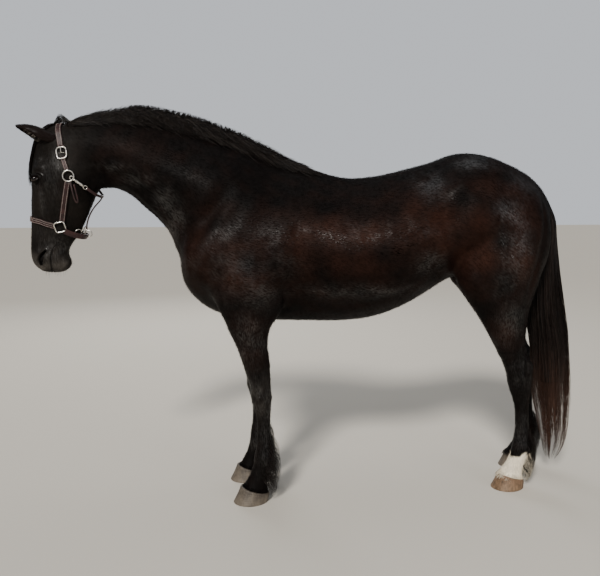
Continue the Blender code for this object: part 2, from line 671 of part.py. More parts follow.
def mirrored(point, side):
    """A point of the left side, or its mirror image on the right one."""
    return Vector((point[0], -side * point[1], point[2]))


def eyeball(name, side, group, radius=EYE_RADIUS, finish=EYE):
    ball = bmesh.new()
    bmesh.ops.create_uvsphere(ball, u_segments=10, v_segments=7, radius=radius)
    bmesh.ops.translate(ball, verts=ball.verts, vec=mirrored(EYE_CENTRE, side))
    return object_from(ball, name, group, finish)


def inflated(obj, amount, group):
    """A copy that is larger by this amount all round, to carve with."""
    data = bmesh.new()
    data.from_mesh(obj.data)
    data.normal_update()
    for vertex, normal in [(v, v.normal.copy()) for v in data.verts]:
        vertex.co += normal * amount
    return object_from(data, obj.name + ".room", group)


def carve(obj, tools):
    """Takes the tools away from the object and keeps its largest piece."""
    for tool in tools:
        cut = obj.modifiers.new("carve", "BOOLEAN")
        cut.operation = "DIFFERENCE"
        cut.solver = "EXACT"
        cut.object = tool
        apply_modifiers(obj)
        keep_largest(obj)


def keep_largest(obj):
    data = bmesh.new()
    data.from_mesh(obj.data)
    bmesh.ops.triangulate(data, faces=data.faces)
    bmesh.ops.remove_doubles(data, verts=data.verts, dist=0.00001)
    bmesh.ops.holes_fill(data, edges=[e for e in data.edges if e.is_boundary])
    bmesh.ops.triangulate(data, faces=[f for f in data.faces if len(f.verts) > 3])
    left = set(data.verts)
    pieces = []
    while left:
        seed = left.pop()
        piece, front = {seed}, [seed]
        while front:
            for edge in front.pop().link_edges:
                for vertex in edge.verts:
                    if vertex in left:
                        left.discard(vertex)
                        piece.add(vertex)
                        front.append(vertex)
        pieces.append(piece)
    pieces.sort(key=len, reverse=True)
    for piece in pieces[1:]:
        bmesh.ops.delete(data, geom=list(piece), context="VERTS")
    data.to_mesh(obj.data)
    data.free()


def feather(name, fore, side, group):
    """The long hair behind a fetlock."""
    step = foot_step(fore, side)
    rings = [
        oval((inner + step, z), (outer + step, z), (width, width, width * 0.7), side * FOOT_SPREAD, points=8)
        for z, inner, outer, width in (FORE_FEATHER if fore else HIND_FEATHER)
    ]
    return object_from(loft(rings), name, group, HAIR)


def tail(group):
    rings = [
        oval((inner_x, inner_z), (outer_x, outer_z), widths, points=12)
        for inner_x, inner_z, outer_x, outer_z, *widths in TAIL
    ]
    return object_from(loft(rings), "tail", group, HAIR)


def forelock(group):
    rings = [
        oval((inner_x, inner_z), (outer_x, outer_z), widths, points=10)
        for inner_x, inner_z, outer_x, outer_z, *widths in FORELOCK
    ]
    return object_from(loft(rings), "forelock", group, HAIR)


def mane(group, skin):
    """The hair over the crest, which hangs on the right side."""
    rows = MANE
    rings = []
    for i, (x, z, height, hang) in enumerate(rows):
        before, after = rows[max(0, i - 1)], rows[min(len(rows) - 1, i + 1)]
        along = Vector((after[0] - before[0], 0.0, after[1] - before[1])).normalized()
        up = Vector((0.0, 1.0, 0.0)).cross(along)
        if up.z < 0:
            up = -up
        crest = Vector((x, 0.0, z))
        outer = [crest + Vector((0.0, -MANE_PARTING, 0.0)) - up * 0.012]
        outer.append(crest + Vector((0.0, -MANE_PARTING * 0.7, 0.0)) + up * height * 0.60)
        outer.append(crest + up * height)
        outer.append(crest + Vector((0.0, MANE_PARTING * 1.1, 0.0)) + up * height * 0.72)
        inner = [crest - up * 0.045]
        for k in range(1, 5):
            share = k / 4
            level = crest - up * (hang * share)
            hit = skin.ray_cast(level + Vector((0.0, 0.6, 0.0)), Vector((0.0, -1.0, 0.0)))[0]
            surface = hit.y if hit else 0.05
            depth = MANE_DEPTH * (1.0 - 0.72 * share ** 3)
            outer.append(Vector((level.x, max(surface + depth, MANE_PARTING * 1.3), level.z)))
            inner.append(Vector((level.x, surface - 0.012, level.z)))
        rings.append(outer + inner[::-1])
    return object_from(loft(rings), "mane", group, HAIR)


def settled(points, skin, tight):
    """Points laid on the skin, or, where they hang loose, only kept clear of it, with their normals."""
    places, normals = [], []
    for point in points:
        place, normal = skin.find_nearest(point)[:2]
        height = (point - place).dot(normal)
        if tight or height < STRAP_LIFT:
            places.append(place + normal * STRAP_LIFT)
            normals.append(normal)
        else:
            places.append(point)
            normals.append((point - place).normalized())
    return places, normals


def even(values, rounds=2):
    """Directions or places averaged with their neighbours; the ends stay."""
    for _ in range(rounds):
        values = (
            values[:1]
            + [(a + b * 2 + c) / 4 for a, b, c in zip(values, values[1:], values[2:])]
            + values[-1:]
        )
    return values


def strap(name, path, skin, group, width=STRAP_WIDTH, thickness=STRAP_THICKNESS, tight=True, steps=2):
    """A strap of leather along this path, in a ring of six points per step."""
    line = [Vector(row) for row in smooth_rows([tuple(p) for p in path], steps)]
    places, normals = settled(line, skin, tight)
    normals = [n.normalized() for n in even(normals, 3)]
    rings = []
    for i, (place, normal) in enumerate(zip(places, normals)):
        along = (places[min(len(places) - 1, i + 1)] - places[max(0, i - 1)]).normalized()
        side = along.cross(normal).normalized()
        bottom = [place + side * width * share for share in (-0.5, 0.0, 0.5)]
        bottom = settled(bottom, skin, tight)[0] if tight else lifted(bottom, normal, skin)
        top = [point + normal * thickness for point in bottom]
        rings.append(bottom + top[::-1])
    return object_from(loft(rings), name, group, LEATHER)


def lifted(points, normal, skin):
    """These points raised together until all of them are clear of the skin."""
    rise = 0.0
    for point in points:
        place, facing = skin.find_nearest(point)[:2]
        rise = max(rise, STRAP_LIFT - (point - place).dot(facing))
    return [point + normal * rise for point in points]


def metal_ring(
    name, centre, skin, group, half_width=RING_RADIUS, half_height=RING_RADIUS, corner=1.0, upright=None
):
    """A ring of round wire that lies on the skin. A corner below 1 makes it squarer."""
    place, normal = skin.find_nearest(Vector(centre))[:2]
    middle = place + normal * (STRAP_LIFT + STRAP_THICKNESS + RING_WIRE + 0.004)
    up = Vector(upright or (0.0, 0.0, 1.0))
    up = (up - normal * up.dot(normal)).normalized()
    side = up.cross(normal)
    loop = []
    for i in range(12):
        angle = 2 * pi * (i + 0.5) / 12
        high = up * squared(cos(angle), corner) * half_height
        wide = side * squared(sin(angle), corner) * half_width
        loop.append(middle + high + wide)
    rings = []
    for i, point in enumerate(loop):
        outward = (point - middle).normalized()
        rings.append([
            point + outward * cos(a) * RING_WIRE + normal * sin(a) * RING_WIRE
            for a in (2 * pi * k / 4 for k in range(4))
        ])
    return object_from(loop_loft(rings), name, group, METAL)


def halter(skin, group):
    """The halter: two straps over the poll, cheeks, nose, chin and throat, joined by metal rings."""
    crown = [(-0.806, -0.084, 1.642), (-0.812, -0.080, 1.678), (-0.824, -0.055, 1.723)]
    crown += [(-0.830, 0.0, 1.748)] + [mirrored(p, 1) for p in crown[::-1]]
    strap("halter.crownpiece", crown, skin, group, steps=3)
    nose = [(-0.856, -0.068, 1.292), (-0.885, -0.066, 1.300), (-0.930, -0.060, 1.312)]
    nose += [(-0.970, -0.034, 1.323)]
    nose += [(-0.984, 0.0, 1.326)] + [mirrored(p, 1) for p in nose[::-1]]
    strap("halter.noseband", nose, skin, group)
    chin = [(-0.806, -0.064, 1.268), (-0.776, -0.052, 1.255), (-0.746, -0.036, 1.247)]
    chin += [(-0.736, 0.0, 1.244)] + [mirrored(p, 1) for p in chin[::-1]]
    strap("halter.chin_strap", chin, skin, group, tight=False)
    throat = [(-0.745, -0.100, 1.497), (-0.712, -0.090, 1.474), (-0.686, -0.068, 1.446)]
    throat += [(-0.664, -0.038, 1.428)]
    throat += [(-0.656, 0.0, 1.424)] + [mirrored(p, 1) for p in throat[::-1]]
    strap("halter.throat_strap", throat, skin, group, width=0.012, tight=False)
    jaw = [(-0.666, 0.0, 1.410), (-0.682, 0.0, 1.380), (-0.702, 0.0, 1.342), (-0.720, 0.0, 1.302)]
    jaw += [(-0.732, 0.0, 1.276)]
    strap("halter.jaw_strap", jaw, skin, group, width=0.012, tight=False, steps=2)
    for side, hand in ((-1, "left"), (1, "right")):
        cheek = [(-0.777, -0.100, 1.483), (-0.792, -0.090, 1.428), (-0.808, -0.080, 1.368)]
        cheek = [mirrored(p, side) for p in cheek + [(-0.820, -0.072, 1.319)]]
        strap(f"halter.cheek_strap_{hand}", cheek, skin, group)
        link = [(-0.794, -0.090, 1.584), (-0.786, -0.096, 1.563), (-0.778, -0.098, 1.544)]
        strap(f"halter.upper_strap_{hand}", [mirrored(p, side) for p in link], skin, group, steps=3)
        metal_ring(
            f"halter.buckle_{hand}", mirrored((-0.800, -0.086, 1.613), side), skin, group,
            half_width=0.021, half_height=0.025, corner=0.75,
        )
        metal_ring(f"halter.cheek_ring_{hand}", mirrored((-0.771, -0.100, 1.514), side), skin, group)
        metal_ring(
            f"halter.square_ring_{hand}", mirrored((-0.831, -0.070, 1.288), side), skin, group,
            half_width=0.021, half_height=0.021, corner=0.5, upright=(-0.25, 0.0, 0.978),
        )


def turned(point):
    """Where the turn of the head takes this point."""
    share = min(1.0, max(0.0, (TURN_FROM_X - point.x) / (TURN_FROM_X - TURN_TO_X)))
    share = share * share * (3.0 - 2.0 * share)
    turn = Matrix.Rotation(-HEAD_TURN * share, 3, "Z")
    axis = Vector((TURN_AXIS_X, 0.0, point.z))
    return axis + turn @ (point - axis)


def main():
    for obj in list(bpy.data.objects):
        bpy.data.objects.remove(obj)
    horse = collection("friesian_horse")
    helpers = collection("helpers", shown=False)
    flesh = fused_flesh(helpers)
    shape_forms(flesh)
    thin_out(flesh, FLESH_TRIANGLES)
    skin = BVHTree.FromObject(flesh, bpy.context.evaluated_depsgraph_get())

    head = part_flesh(flesh, horse)[0]
    sockets, ears, walls, feathers = [], [], [], []
    for side, hand in ((-1, "left"), (1, "right")):
        sockets.append(eyeball(f"socket_{hand}", side, helpers, EYE_RADIUS + 0.0004, None))
        eyeball(f"eye_{hand}", side, horse)
        ears.append(ear(f"ear_{hand}", side, skin, horse))
        for fore, name in ((True, "foreleg"), (False, "hindleg")):
            horn = PALE_HORN if (side, fore) == (-1, False) else DARK_HORN
            walls.append(hoof(f"{name}_{hand}.hoof", fore, side, horse, horn))
            feathers.append(feather(f"{name}_{hand}.feather", fore, side, horse))
    long_hair = [forelock(horse), mane(horse, skin), tail(horse)]
    halter(skin, horse)

    for obj in list(horse.objects) + list(helpers.objects):
        for vertex in obj.data.vertices:
            vertex.co = turned(vertex.co)
    room = inflated(flesh, 0.0008, helpers)
    carve(head, sockets)
    for hair, wall in zip(feathers, walls):
        carve(hair, [room, inflated(wall, 0.0006, helpers)])
    for hair in long_hair:
        carve(hair, [room])
    carve(long_hair[0], [inflated(obj, 0.0006, helpers) for obj in ears])
    for obj in horse.objects:
        for vertex in obj.data.vertices:
            vertex.co += TO_MIDDLE


main()
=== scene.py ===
from math import cos, pi, radians, sin

import bmesh
import bpy
import numpy as np
from mathutils import Matrix, Vector
from mathutils.bvhtree import BVHTree


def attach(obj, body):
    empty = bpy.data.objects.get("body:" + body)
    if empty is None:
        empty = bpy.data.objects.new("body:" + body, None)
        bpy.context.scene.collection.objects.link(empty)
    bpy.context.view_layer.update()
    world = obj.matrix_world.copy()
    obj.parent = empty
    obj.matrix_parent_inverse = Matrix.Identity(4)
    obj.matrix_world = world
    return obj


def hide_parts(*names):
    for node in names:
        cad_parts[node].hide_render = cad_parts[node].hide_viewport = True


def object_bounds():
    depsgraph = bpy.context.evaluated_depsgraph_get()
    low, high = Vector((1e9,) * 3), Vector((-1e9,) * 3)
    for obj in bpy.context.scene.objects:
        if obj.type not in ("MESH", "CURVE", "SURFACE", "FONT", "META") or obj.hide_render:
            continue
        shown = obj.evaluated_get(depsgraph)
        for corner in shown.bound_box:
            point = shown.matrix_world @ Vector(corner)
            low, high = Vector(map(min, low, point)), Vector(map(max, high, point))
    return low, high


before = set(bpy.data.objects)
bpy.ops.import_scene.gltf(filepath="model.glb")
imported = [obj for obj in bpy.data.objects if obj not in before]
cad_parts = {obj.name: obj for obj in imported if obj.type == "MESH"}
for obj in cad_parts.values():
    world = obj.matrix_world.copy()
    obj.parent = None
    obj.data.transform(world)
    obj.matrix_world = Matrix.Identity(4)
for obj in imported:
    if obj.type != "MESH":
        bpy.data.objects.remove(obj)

CAD_BOX = [list(map(float, corner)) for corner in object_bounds()]
CHANCE = np.random.default_rng(11)
vary, stray = CHANCE.uniform, CHANCE.normal

# The horse is drawn from the floor midway between its fore feet, facing -X, its left side at -Y.
# The head is then turned, and the whole is moved by this.
TO_MIDDLE = np.array((-0.3177, -0.0005, 0.0))
HEAD_TURN = radians(8.0)
TURN_AXIS_X = -0.6
TURN_FROM_X = -0.34
TURN_TO_X = -0.62

RIGHT_FORE_STEP = -0.006
RIGHT_HIND_STEP = 0.155
HIP_Z = 1.378
FUSE_VOXEL = 0.0145
COAT_DEPTH = 0.0022

EYE_CENTRE = np.array((-0.926, -0.0735, 1.501))
EYE_RADIUS = 0.0212
EAR_ROOT = np.array((-0.864, -0.06, 1.69))
EAR_TIP = np.array((-1.002, -0.078, 1.73))
STRAP_WIDTH = 0.025
STRAP_THICKNESS = 0.0042
STRAP_LIFT = 0.0006

SOLE_LENGTH = 0.162
SOLE_WIDTH = 0.136
FORE_TOE_X = -0.086
HIND_TOE_X = 1.183
FOOT_SPREAD = 0.134
FORE_CORONET = (-0.05, 0.078, 0.084, 0.04)
HIND_CORONET = (1.218, 0.076, 1.344, 0.04)


def in_metres(rows):
    return [tuple(value / 1000 for value in row) for row in rows]


def forms_of(named):
    """Centre, half-length along the form, half-width across it, and depth, from rows in millimetres."""
    rows = in_metres(named.values())
    return {name: (row[:3], row[3:6], row[6], row[7]) for name, row in zip(named, rows)}


def lines_of(named):
    """A line's places, half-width and lift, from rows that say half-width, lift and then the places."""
    made = {}
    for name, (width, lift, *flat) in named.items():
        made[name] = (in_metres(zip(flat[::2], flat[1::2])), width / 1000, lift / 1000)
    return made


# The tables from here to LINES are in millimetres.
# Stations of the trunk: x, lowest z, highest z, then the half-widths low, halfway up and high.
TRUNK = in_metres([(-306, 1098, 1213, 50, 60, 50), (-284, 1013, 1308, 125, 166, 100),
    (-240, 948, 1398, 150, 208, 115), (-165, 894, 1468, 160, 230, 110), (-50, 852, 1528, 130, 246, 95),
    (100, 842, 1568, 150, 260, 75), (200, 838, 1578, 165, 270, 60), (300, 835, 1556, 180, 284, 75),
    (450, 833, 1516, 200, 304, 120), (600, 850, 1523, 210, 314, 150), (750, 904, 1556, 200, 310, 160),
    (880, 978, 1591, 180, 296, 165), (970, 1028, 1630, 160, 288, 175), (1060, 1038, 1640, 150, 286, 180),
    (1160, 1028, 1621, 130, 274, 175), (1270, 1028, 1579, 110, 240, 150), (1360, 1068, 1534, 90, 196, 120),
    (1425, 1148, 1478, 60, 136, 85), (1468, 1268, 1408, 30, 60, 45)])
# Stations of the neck: crest x and z, underside x and z,
# then the half-widths under, halfway and at the crest.
NECK = in_metres([(-850, 1720, -740, 1508, 50, 76, 48), (-770, 1768, -668, 1460, 52, 84, 40),
    (-660, 1782, -590, 1458, 60, 92, 36), (-530, 1780, -520, 1424, 66, 99, 34),
    (-400, 1764, -465, 1371, 72, 110, 34), (-265, 1736, -412, 1323, 82, 128, 34),
    (-125, 1696, -360, 1258, 100, 156, 34), (15, 1652, -326, 1168, 128, 188, 34),
    (130, 1602, -280, 1058, 150, 208, 34), (230, 1570, -150, 958, 140, 214, 34)])
# Stations of the head, from the poll down to the lips: z, foremost x, rearmost x,
# then the half-widths at the back, halfway and in front.
HEAD = in_metres([(1742, -874, -786, 24, 34, 22), (1716, -912, -745, 50, 62, 40),
    (1674, -940, -700, 66, 78, 56), (1623, -955, -664, 70, 87, 70), (1568, -966, -650, 68, 95, 80),
    (1508, -973, -654, 60, 99, 76), (1448, -976, -675, 56, 90, 56), (1388, -984, -700, 48, 78, 46),
    (1328, -986, -727, 40, 67, 42), (1268, -990, -754, 32, 58, 39), (1213, -994, -795, 30, 53, 41),
    (1173, -995, -818, 34, 56, 46), (1138, -990, -808, 36, 58, 45), (1106, -972, -812, 32, 50, 38),
    (1078, -940, -850, 18, 30, 22)])
# Stations of the left fore leg, downwards: z, foremost x, rearmost x, middle y,
# then the half-widths at the back, halfway and in front.
FORE_LEG = in_metres([(1278, -160, 120, -165, 40, 60, 40), (1098, -200, 160, -170, 55, 80, 55),
    (958, -160, 155, -165, 52, 78, 56), (878, -122, 112, -158, 42, 70, 52), (818, -100, 90, -150, 34, 61, 46),
    (748, -68, 85, -144, 30, 53, 41), (668, -41, 93, -139, 27, 46, 36), (588, -17, 98, -136, 27, 41, 33),
    (528, -2, 99, -134, 29, 43, 36), (488, 2, 101, -134, 30, 45, 38), (448, 10, 99, -134, 26, 40, 34),
    (403, 21, 97, -134, 20, 30, 24), (338, 23, 97, -134, 19, 28, 22), (278, 19, 103, -134, 21, 30, 23),
    (228, 11, 114, -134, 28, 41, 30), (193, 7, 115, -134, 28, 41, 30), (148, -5, 96, -134, 24, 34, 28),
    (103, -28, 82, -134, 28, 36, 32), (68, -45, 78, -134, 38, 46, 40), (38, -58, 82, -134, 40, 50, 44),
    (8, -66, 86, -134, 40, 50, 44)])
# Stations of the left hind leg, with the same columns.
HIND_LEG = in_metres([(1458, 1060, 1350, -150, 50, 90, 60), (1338, 990, 1405, -150, 80, 128, 80),
    (1218, 952, 1420, -152, 84, 134, 80), (1108, 948, 1398, -158, 78, 128, 78),
    (1018, 966, 1366, -162, 66, 112, 76), (938, 1018, 1340, -160, 54, 94, 70),
    (858, 1078, 1328, -154, 40, 76, 56), (778, 1128, 1326, -147, 30, 62, 48),
    (708, 1172, 1334, -141, 20, 51, 43), (658, 1200, 1354, -138, 19, 47, 42),
    (618, 1218, 1372, -136, 22, 47, 42), (568, 1236, 1374, -135, 24, 47, 43),
    (508, 1249, 1371, -134, 24, 44, 39), (458, 1268, 1366, -134, 22, 35, 28),
    (398, 1283, 1364, -134, 20, 29, 23), (318, 1290, 1366, -134, 20, 29, 23),
    (258, 1286, 1374, -134, 24, 33, 25), (213, 1277, 1386, -134, 29, 42, 31),
    (178, 1273, 1386, -134, 29, 41, 30), (138, 1256, 1368, -134, 25, 35, 28),
    (98, 1228, 1348, -134, 28, 36, 32), (68, 1210, 1342, -134, 36, 44, 39),
    (38, 1198, 1344, -134, 38, 48, 42), (8, 1190, 1346, -134, 38, 48, 42)])
# Stations of the tail, from the dock down: inner x and z, outer x and z,
# then the half-widths at the inner edge, halfway and at the outer edge.
TAIL = in_metres([(1395, 1373, 1413, 1468, 20, 30, 20), (1432, 1348, 1459, 1428, 30, 40, 28),
    (1448, 1303, 1488, 1376, 36, 50, 36), (1448, 1243, 1515, 1313, 40, 60, 42),
    (1426, 1158, 1526, 1233, 44, 66, 46), (1405, 1058, 1540, 1133, 48, 72, 50),
    (1392, 938, 1563, 993, 52, 78, 55), (1396, 818, 1591, 853, 56, 84, 60),
    (1414, 698, 1619, 713, 58, 88, 62), (1420, 578, 1635, 578, 58, 90, 62),
    (1430, 458, 1643, 458, 56, 88, 60), (1462, 338, 1645, 338, 52, 80, 56),
    (1480, 228, 1643, 228, 44, 68, 48), (1500, 148, 1631, 148, 34, 52, 36), (1520, 93, 1595, 90, 20, 34, 22),
    (1548, 68, 1565, 67, 8, 12, 8)])
# Stations of the forelock, from the poll down the forehead, in the same columns.
FORELOCK = in_metres([(-848, 1708, -851, 1786, 12, 14, 8), (-866, 1700, -876, 1770, 26, 32, 20),
    (-890, 1678, -914, 1734, 34, 42, 28), (-914, 1648, -947, 1684, 40, 48, 34),
    (-930, 1603, -969, 1622, 40, 48, 34), (-942, 1553, -980, 1562, 34, 42, 30),
    (-952, 1503, -985, 1506, 24, 30, 20), (-962, 1466, -982, 1467, 8, 12, 8)])
# Stations of the mane: crest x and z, how high the hair stands over it, and how far it hangs.
MANE = in_metres([(-795, 1746, 10, 50), (-760, 1764, 14, 120), (-700, 1776, 24, 190), (-600, 1782, 36, 230),
    (-514, 1778, 56, 250), (-400, 1764, 56, 270), (-300, 1742, 62, 290), (-179, 1712, 58, 290),
    (-60, 1676, 50, 260), (60, 1632, 36, 200), (160, 1590, 26, 130), (240, 1574, 10, 50)])
# Stations of the feather of a left leg, downwards: z, inner x, outer x, half-width.
FORE_FEATHER = in_metres([(348, 80, 108, 12), (291, 80, 122, 24), (242, 80, 137, 36), (192, 70, 139, 42),
    (143, 55, 138, 43), (88, 45, 129, 40), (38, 50, 114, 32), (8, 70, 98, 12)])
HIND_FEATHER = in_metres([(318, 1345, 1375, 12), (258, 1345, 1388, 24), (210, 1345, 1403, 36),
    (163, 1330, 1405, 42), (113, 1315, 1396, 42), (63, 1310, 1380, 36), (23, 1325, 1362, 14)])
# Muscles, bones and hollows of the left side: centre, half-length along the form, half-width across it,
# and how far it stands out, or lies in where that is negative. The right side is their mirror image.
FORMS = forms_of({"shoulder blade": (0, -190, 1338, 90, 0, 130, 50, 12),
    "triceps": (70, -250, 1088, 70, 0, 100, 85, 18), "point of shoulder": (-220, -190, 1108, 0, 0, 70, 65,
    16), "breast muscle": (-270, -95, 1078, 0, 0, 90, 55, 12),
    "groove of the breast": (-300, 0, 1078, 0, 0, 120, 24, -10),
    "girth behind the elbow": (190, -250, 1028, 0, 0, 150, 45, -14),
    "elbow": (115, -185, 903, 0, 0, 50, 40, 14), "hollow of the flank": (900, -280, 1328, 30, 0, 90, 75, -26),
    "point of hip": (935, -250, 1488, 20, 0, 30, 45, 20), "rump muscle": (1120, -180, 1518, 120, 0, -30, 100,
    14), "groove of the rump": (1150, 0, 1628, 200, 0, -30, 30, -12),
    "thigh muscle": (1220, -250, 1238, 30, 0, 150, 100, 14),
    "ham groove": (1355, -190, 1148, -30, 0, 170, 22, -8), "cleft behind": (1430, 0, 1178, -30, 0, 220, 40,
    -60), "stifle": (1000, -240, 1018, 20, 0, 60, 55, 18), "second thigh": (1190, -190, 808, 30, 0, -80, 45,
    10), "cheek": (-765, -85, 1453, 10, 0, 60, 70, 12), "face ridge": (-912, -80, 1403, 4, 0, 60, 16, 9),
    "brow": (-934, -82, 1540, 12, 0, 15, 24, 12), "rim of the eye socket": (-922, -86, 1502, 0, 0, 0, 34, 9),
    "temple": (-890, -80, 1613, 0, 0, 20, 28, -10), "bridge hollow": (-930, -50, 1308, 0, 0, 60, 26, -6),
    "nostril": (-935, -50, 1143, 8, 0, 18, 22, 9), "lip line": (-880, -50, 1143, 8, 0, 50, 9, -4),
    "jaw groove": (-800, -20, 1268, -40, 0, -50, 16, -3), "gullet": (-655, -60, 1498, 0, 0, 60, 35, -14),
    "vein groove": (-440, -95, 1408, 130, 0, -120, 28, -14),
    "neck muscle": (-330, -130, 1518, 200, 0, -100, 70, 12),
    "hollow before the shoulder": (-130, -190, 1398, 100, 0, 120, 36, -16),
    "tendon groove of the fore leg": (66, -165, 348, 0, 0, 60, 10, -4),
    "tendon groove of the hind leg": (1334, -165, 368, 0, 0, 60, 10, -4),
    "hollow above the hock": (1315, -165, 693, -15, 0, 30, 18, -12)})


def between(t, a, b, c, d):
    """A value between b and c, on a smooth curve that also knows their neighbours a and d."""
    square = (2 * a - 5 * b + 4 * c - d) * t * t
    cube = (3 * b - a - 3 * c + d) * t ** 3
    return 0.5 * (2 * b + (c - a) * t + square + cube)


def smooth_rows(rows, steps=4):
    """Rows of numbers, with more rows between them on a smooth curve through each column."""
    rows = np.array(rows, dtype=float)
    dense = []
    for i in range(len(rows) - 1):
        before, here, there, after = (rows[max(0, min(len(rows) - 1, i + k))] for k in (-1, 0, 1, 2))
        dense += [between(step / steps, before, here, there, after) for step in range(steps)]
    return np.array(dense + [rows[-1]])


def squared(value, squareness):
    return np.sign(value) * np.abs(value) ** squareness


def oval(low, high, widths, middle_y=0.0, squareness=1.0, points=32):
    """A ring round the line from low to high, (x, z) each, with half-widths low, halfway and high."""
    low, high = np.array((low[0], 0.0, low[1])), np.array((high[0], 0.0, high[1]))
    angle = 2 * pi * np.arange(points) / points
    along = squared(np.cos(angle), squareness)
    near_low, halfway, near_high = widths
    end_width = np.where(along > 0, near_high, near_low)
    width = halfway + (end_width - halfway) * along * along
    ring = (low + high) / 2 + np.outer(along, (high - low) / 2)
    ring[:, 1] += middle_y + width * squared(np.sin(angle), squareness)
    return ring


def ease(value, start, end):
    """0 before start, 1 after end, and a soft rise between them."""
    t = np.clip((value - start) / (end - start), 0.0, 1.0)
    return t * t * (3 - 2 * t)


def stride(z, step):
    """How far a leg that stands back has moved at this height."""
    down = np.clip((HIP_Z - z) / (HIP_Z - 0.06), 0.0, 1.0)
    return step * (1.0 - (1.0 - down) ** 2.2)


def step_of(points):
    """How far the stance of the right legs moves these points."""
    hind = np.where(points[:, 0] > 0.6, stride(points[:, 2], RIGHT_HIND_STEP), 0.0)
    fore = np.where((points[:, 0] <= 0.6) & (points[:, 2] < 0.9), stride(points[:, 2], RIGHT_FORE_STEP), 0.0)
    return np.where(points[:, 1] > 0, hind + fore, 0.0)


def placed(points):
    """Drawn points with the head turned, where the horse stands."""
    share = ease(-points[:, 0], -TURN_FROM_X, -TURN_TO_X)
    angle = -HEAD_TURN * share
    x, y = points[:, 0] - TURN_AXIS_X, points[:, 1]
    out = points.copy()
    out[:, 0] = TURN_AXIS_X + x * np.cos(angle) - y * np.sin(angle)
    out[:, 1] = x * np.sin(angle) + y * np.cos(angle)
    return out + TO_MIDDLE


def unit(vectors):
    return vectors / np.maximum(np.linalg.norm(vectors, axis=-1, keepdims=True), 1e-9)


def deselect():
    if bpy.context.object and bpy.context.object.mode != "OBJECT":
        bpy.ops.object.mode_set(mode="OBJECT")
    bpy.ops.object.select_all(action="DESELECT")


def pick(obj):
    deselect()
    obj.select_set(True)
    bpy.context.view_layer.objects.active = obj
    return obj


def apply_all(obj):
    pick(obj)
    for modifier in list(obj.modifiers):
        bpy.ops.object.modifier_apply(modifier=modifier.name)
    return obj


def piece_of(name, vertices, faces, uv=None, tone=None):
    """A new object of these vertices and faces, an array for each number of corners."""
    mesh = bpy.data.meshes.new(name)
    corners = np.concatenate([group.ravel() for group in faces]).astype(np.int32)
    sizes = np.concatenate([np.full(len(group), group.shape[1]) for group in faces])
    starts = np.concatenate(([0], np.cumsum(sizes)[:-1])).astype(np.int32)
    mesh.vertices.add(len(vertices))
    mesh.vertices.foreach_set("co", np.ascontiguousarray(vertices, dtype=np.float32).ravel())
    mesh.loops.add(len(corners))
    mesh.loops.foreach_set("vertex_index", corners)
    mesh.polygons.add(len(sizes))
    mesh.polygons.foreach_set("loop_start", starts)
    mesh.update(calc_edges=True)
    mesh.shade_smooth()
    if uv is not None:
        mesh.uv_layers.new(name="OFBake").uv.foreach_set("vector", uv.astype(np.float32).ravel())
    if tone is not None:
        paint(mesh, tone)
    made = bpy.data.objects.new(name, mesh)
    bpy.context.scene.collection.objects.link(made)
    return made


def paint(mesh, tone, name="tone"):
    colour = mesh.color_attributes.new(name, "FLOAT_COLOR", "POINT")
    flat = np.ones((len(tone), 4), dtype=np.float32)
    flat[:, :tone.shape[1]] = tone
    colour.data.foreach_set("color", flat.ravel())


def places_of(mesh):
    flat = np.empty(len(mesh.vertices) * 3, dtype=np.float32)
    mesh.vertices.foreach_get("co", flat)
    return flat.reshape(-1, 3).astype(float)


def normals_of(mesh):
    flat = np.empty(len(mesh.vertices) * 3, dtype=np.float32)
    mesh.vertex_normals.foreach_get("vector", flat)
    return flat.reshape(-1, 3).astype(float)


def move_to(mesh, points):
    mesh.vertices.foreach_set("co", points.astype(np.float32).ravel())
    mesh.update()


# The skin.

def flesh_rings():
    sets = [[oval((x, low), (x, high), widths, squareness=0.92) for x, low, high,
        *widths in smooth_rows(TRUNK)], [oval((ux, uz), (cx, cz), widths, squareness=0.92) for cx, cz, ux, uz,
        *widths in smooth_rows(NECK)], [oval((rear, z), (front, z), widths, squareness=0.8) for z, front,
        rear, *widths in smooth_rows(HEAD)]]
    for side, fore_step, hind_step in ((-1, 0.0, 0.0), (1, RIGHT_FORE_STEP, RIGHT_HIND_STEP)):
        for stations, step in ((FORE_LEG, fore_step), (HIND_LEG, hind_step)):
            sets.append([oval((rear + stride(z, step), z), (front + stride(z, step), z), widths, -side * y,
                0.88) for z, front, rear, y, *widths in smooth_rows(stations)])
    return sets


def fused_flesh():
    """Head, neck, trunk and legs as one closed skin."""
    points, faces = [], []
    for rings in flesh_rings():
        base, count = len(points), len(rings[0])
        points += [tuple(p) for ring in rings for p in ring]
        for row in range(len(rings) - 1):
            start = base + row * count
            faces += [(start + i, start + (i + 1) % count, start + count + (i + 1) % count, start + count + i)
                for i in range(count)]
        faces += [tuple(range(base, base + count)), tuple(range(len(points) - count, len(points)))]
    mesh = bpy.data.meshes.new("skin")
    mesh.from_pydata(points, [], faces)
    data = bmesh.new()
    data.from_mesh(mesh)
    bmesh.ops.recalc_face_normals(data, faces=data.faces)
    data.to_mesh(mesh)
    data.free()
    skin = bpy.data.objects.new("skin", mesh)
    bpy.context.scene.collection.objects.link(skin)
    fuse = skin.modifiers.new("fuse", "REMESH")
    fuse.mode = "VOXEL"
    fuse.voxel_size = FUSE_VOXEL
    soften = skin.modifiers.new("soften", "SMOOTH")
    soften.factor = 0.5
    soften.iterations = 5
    return apply_all(skin)


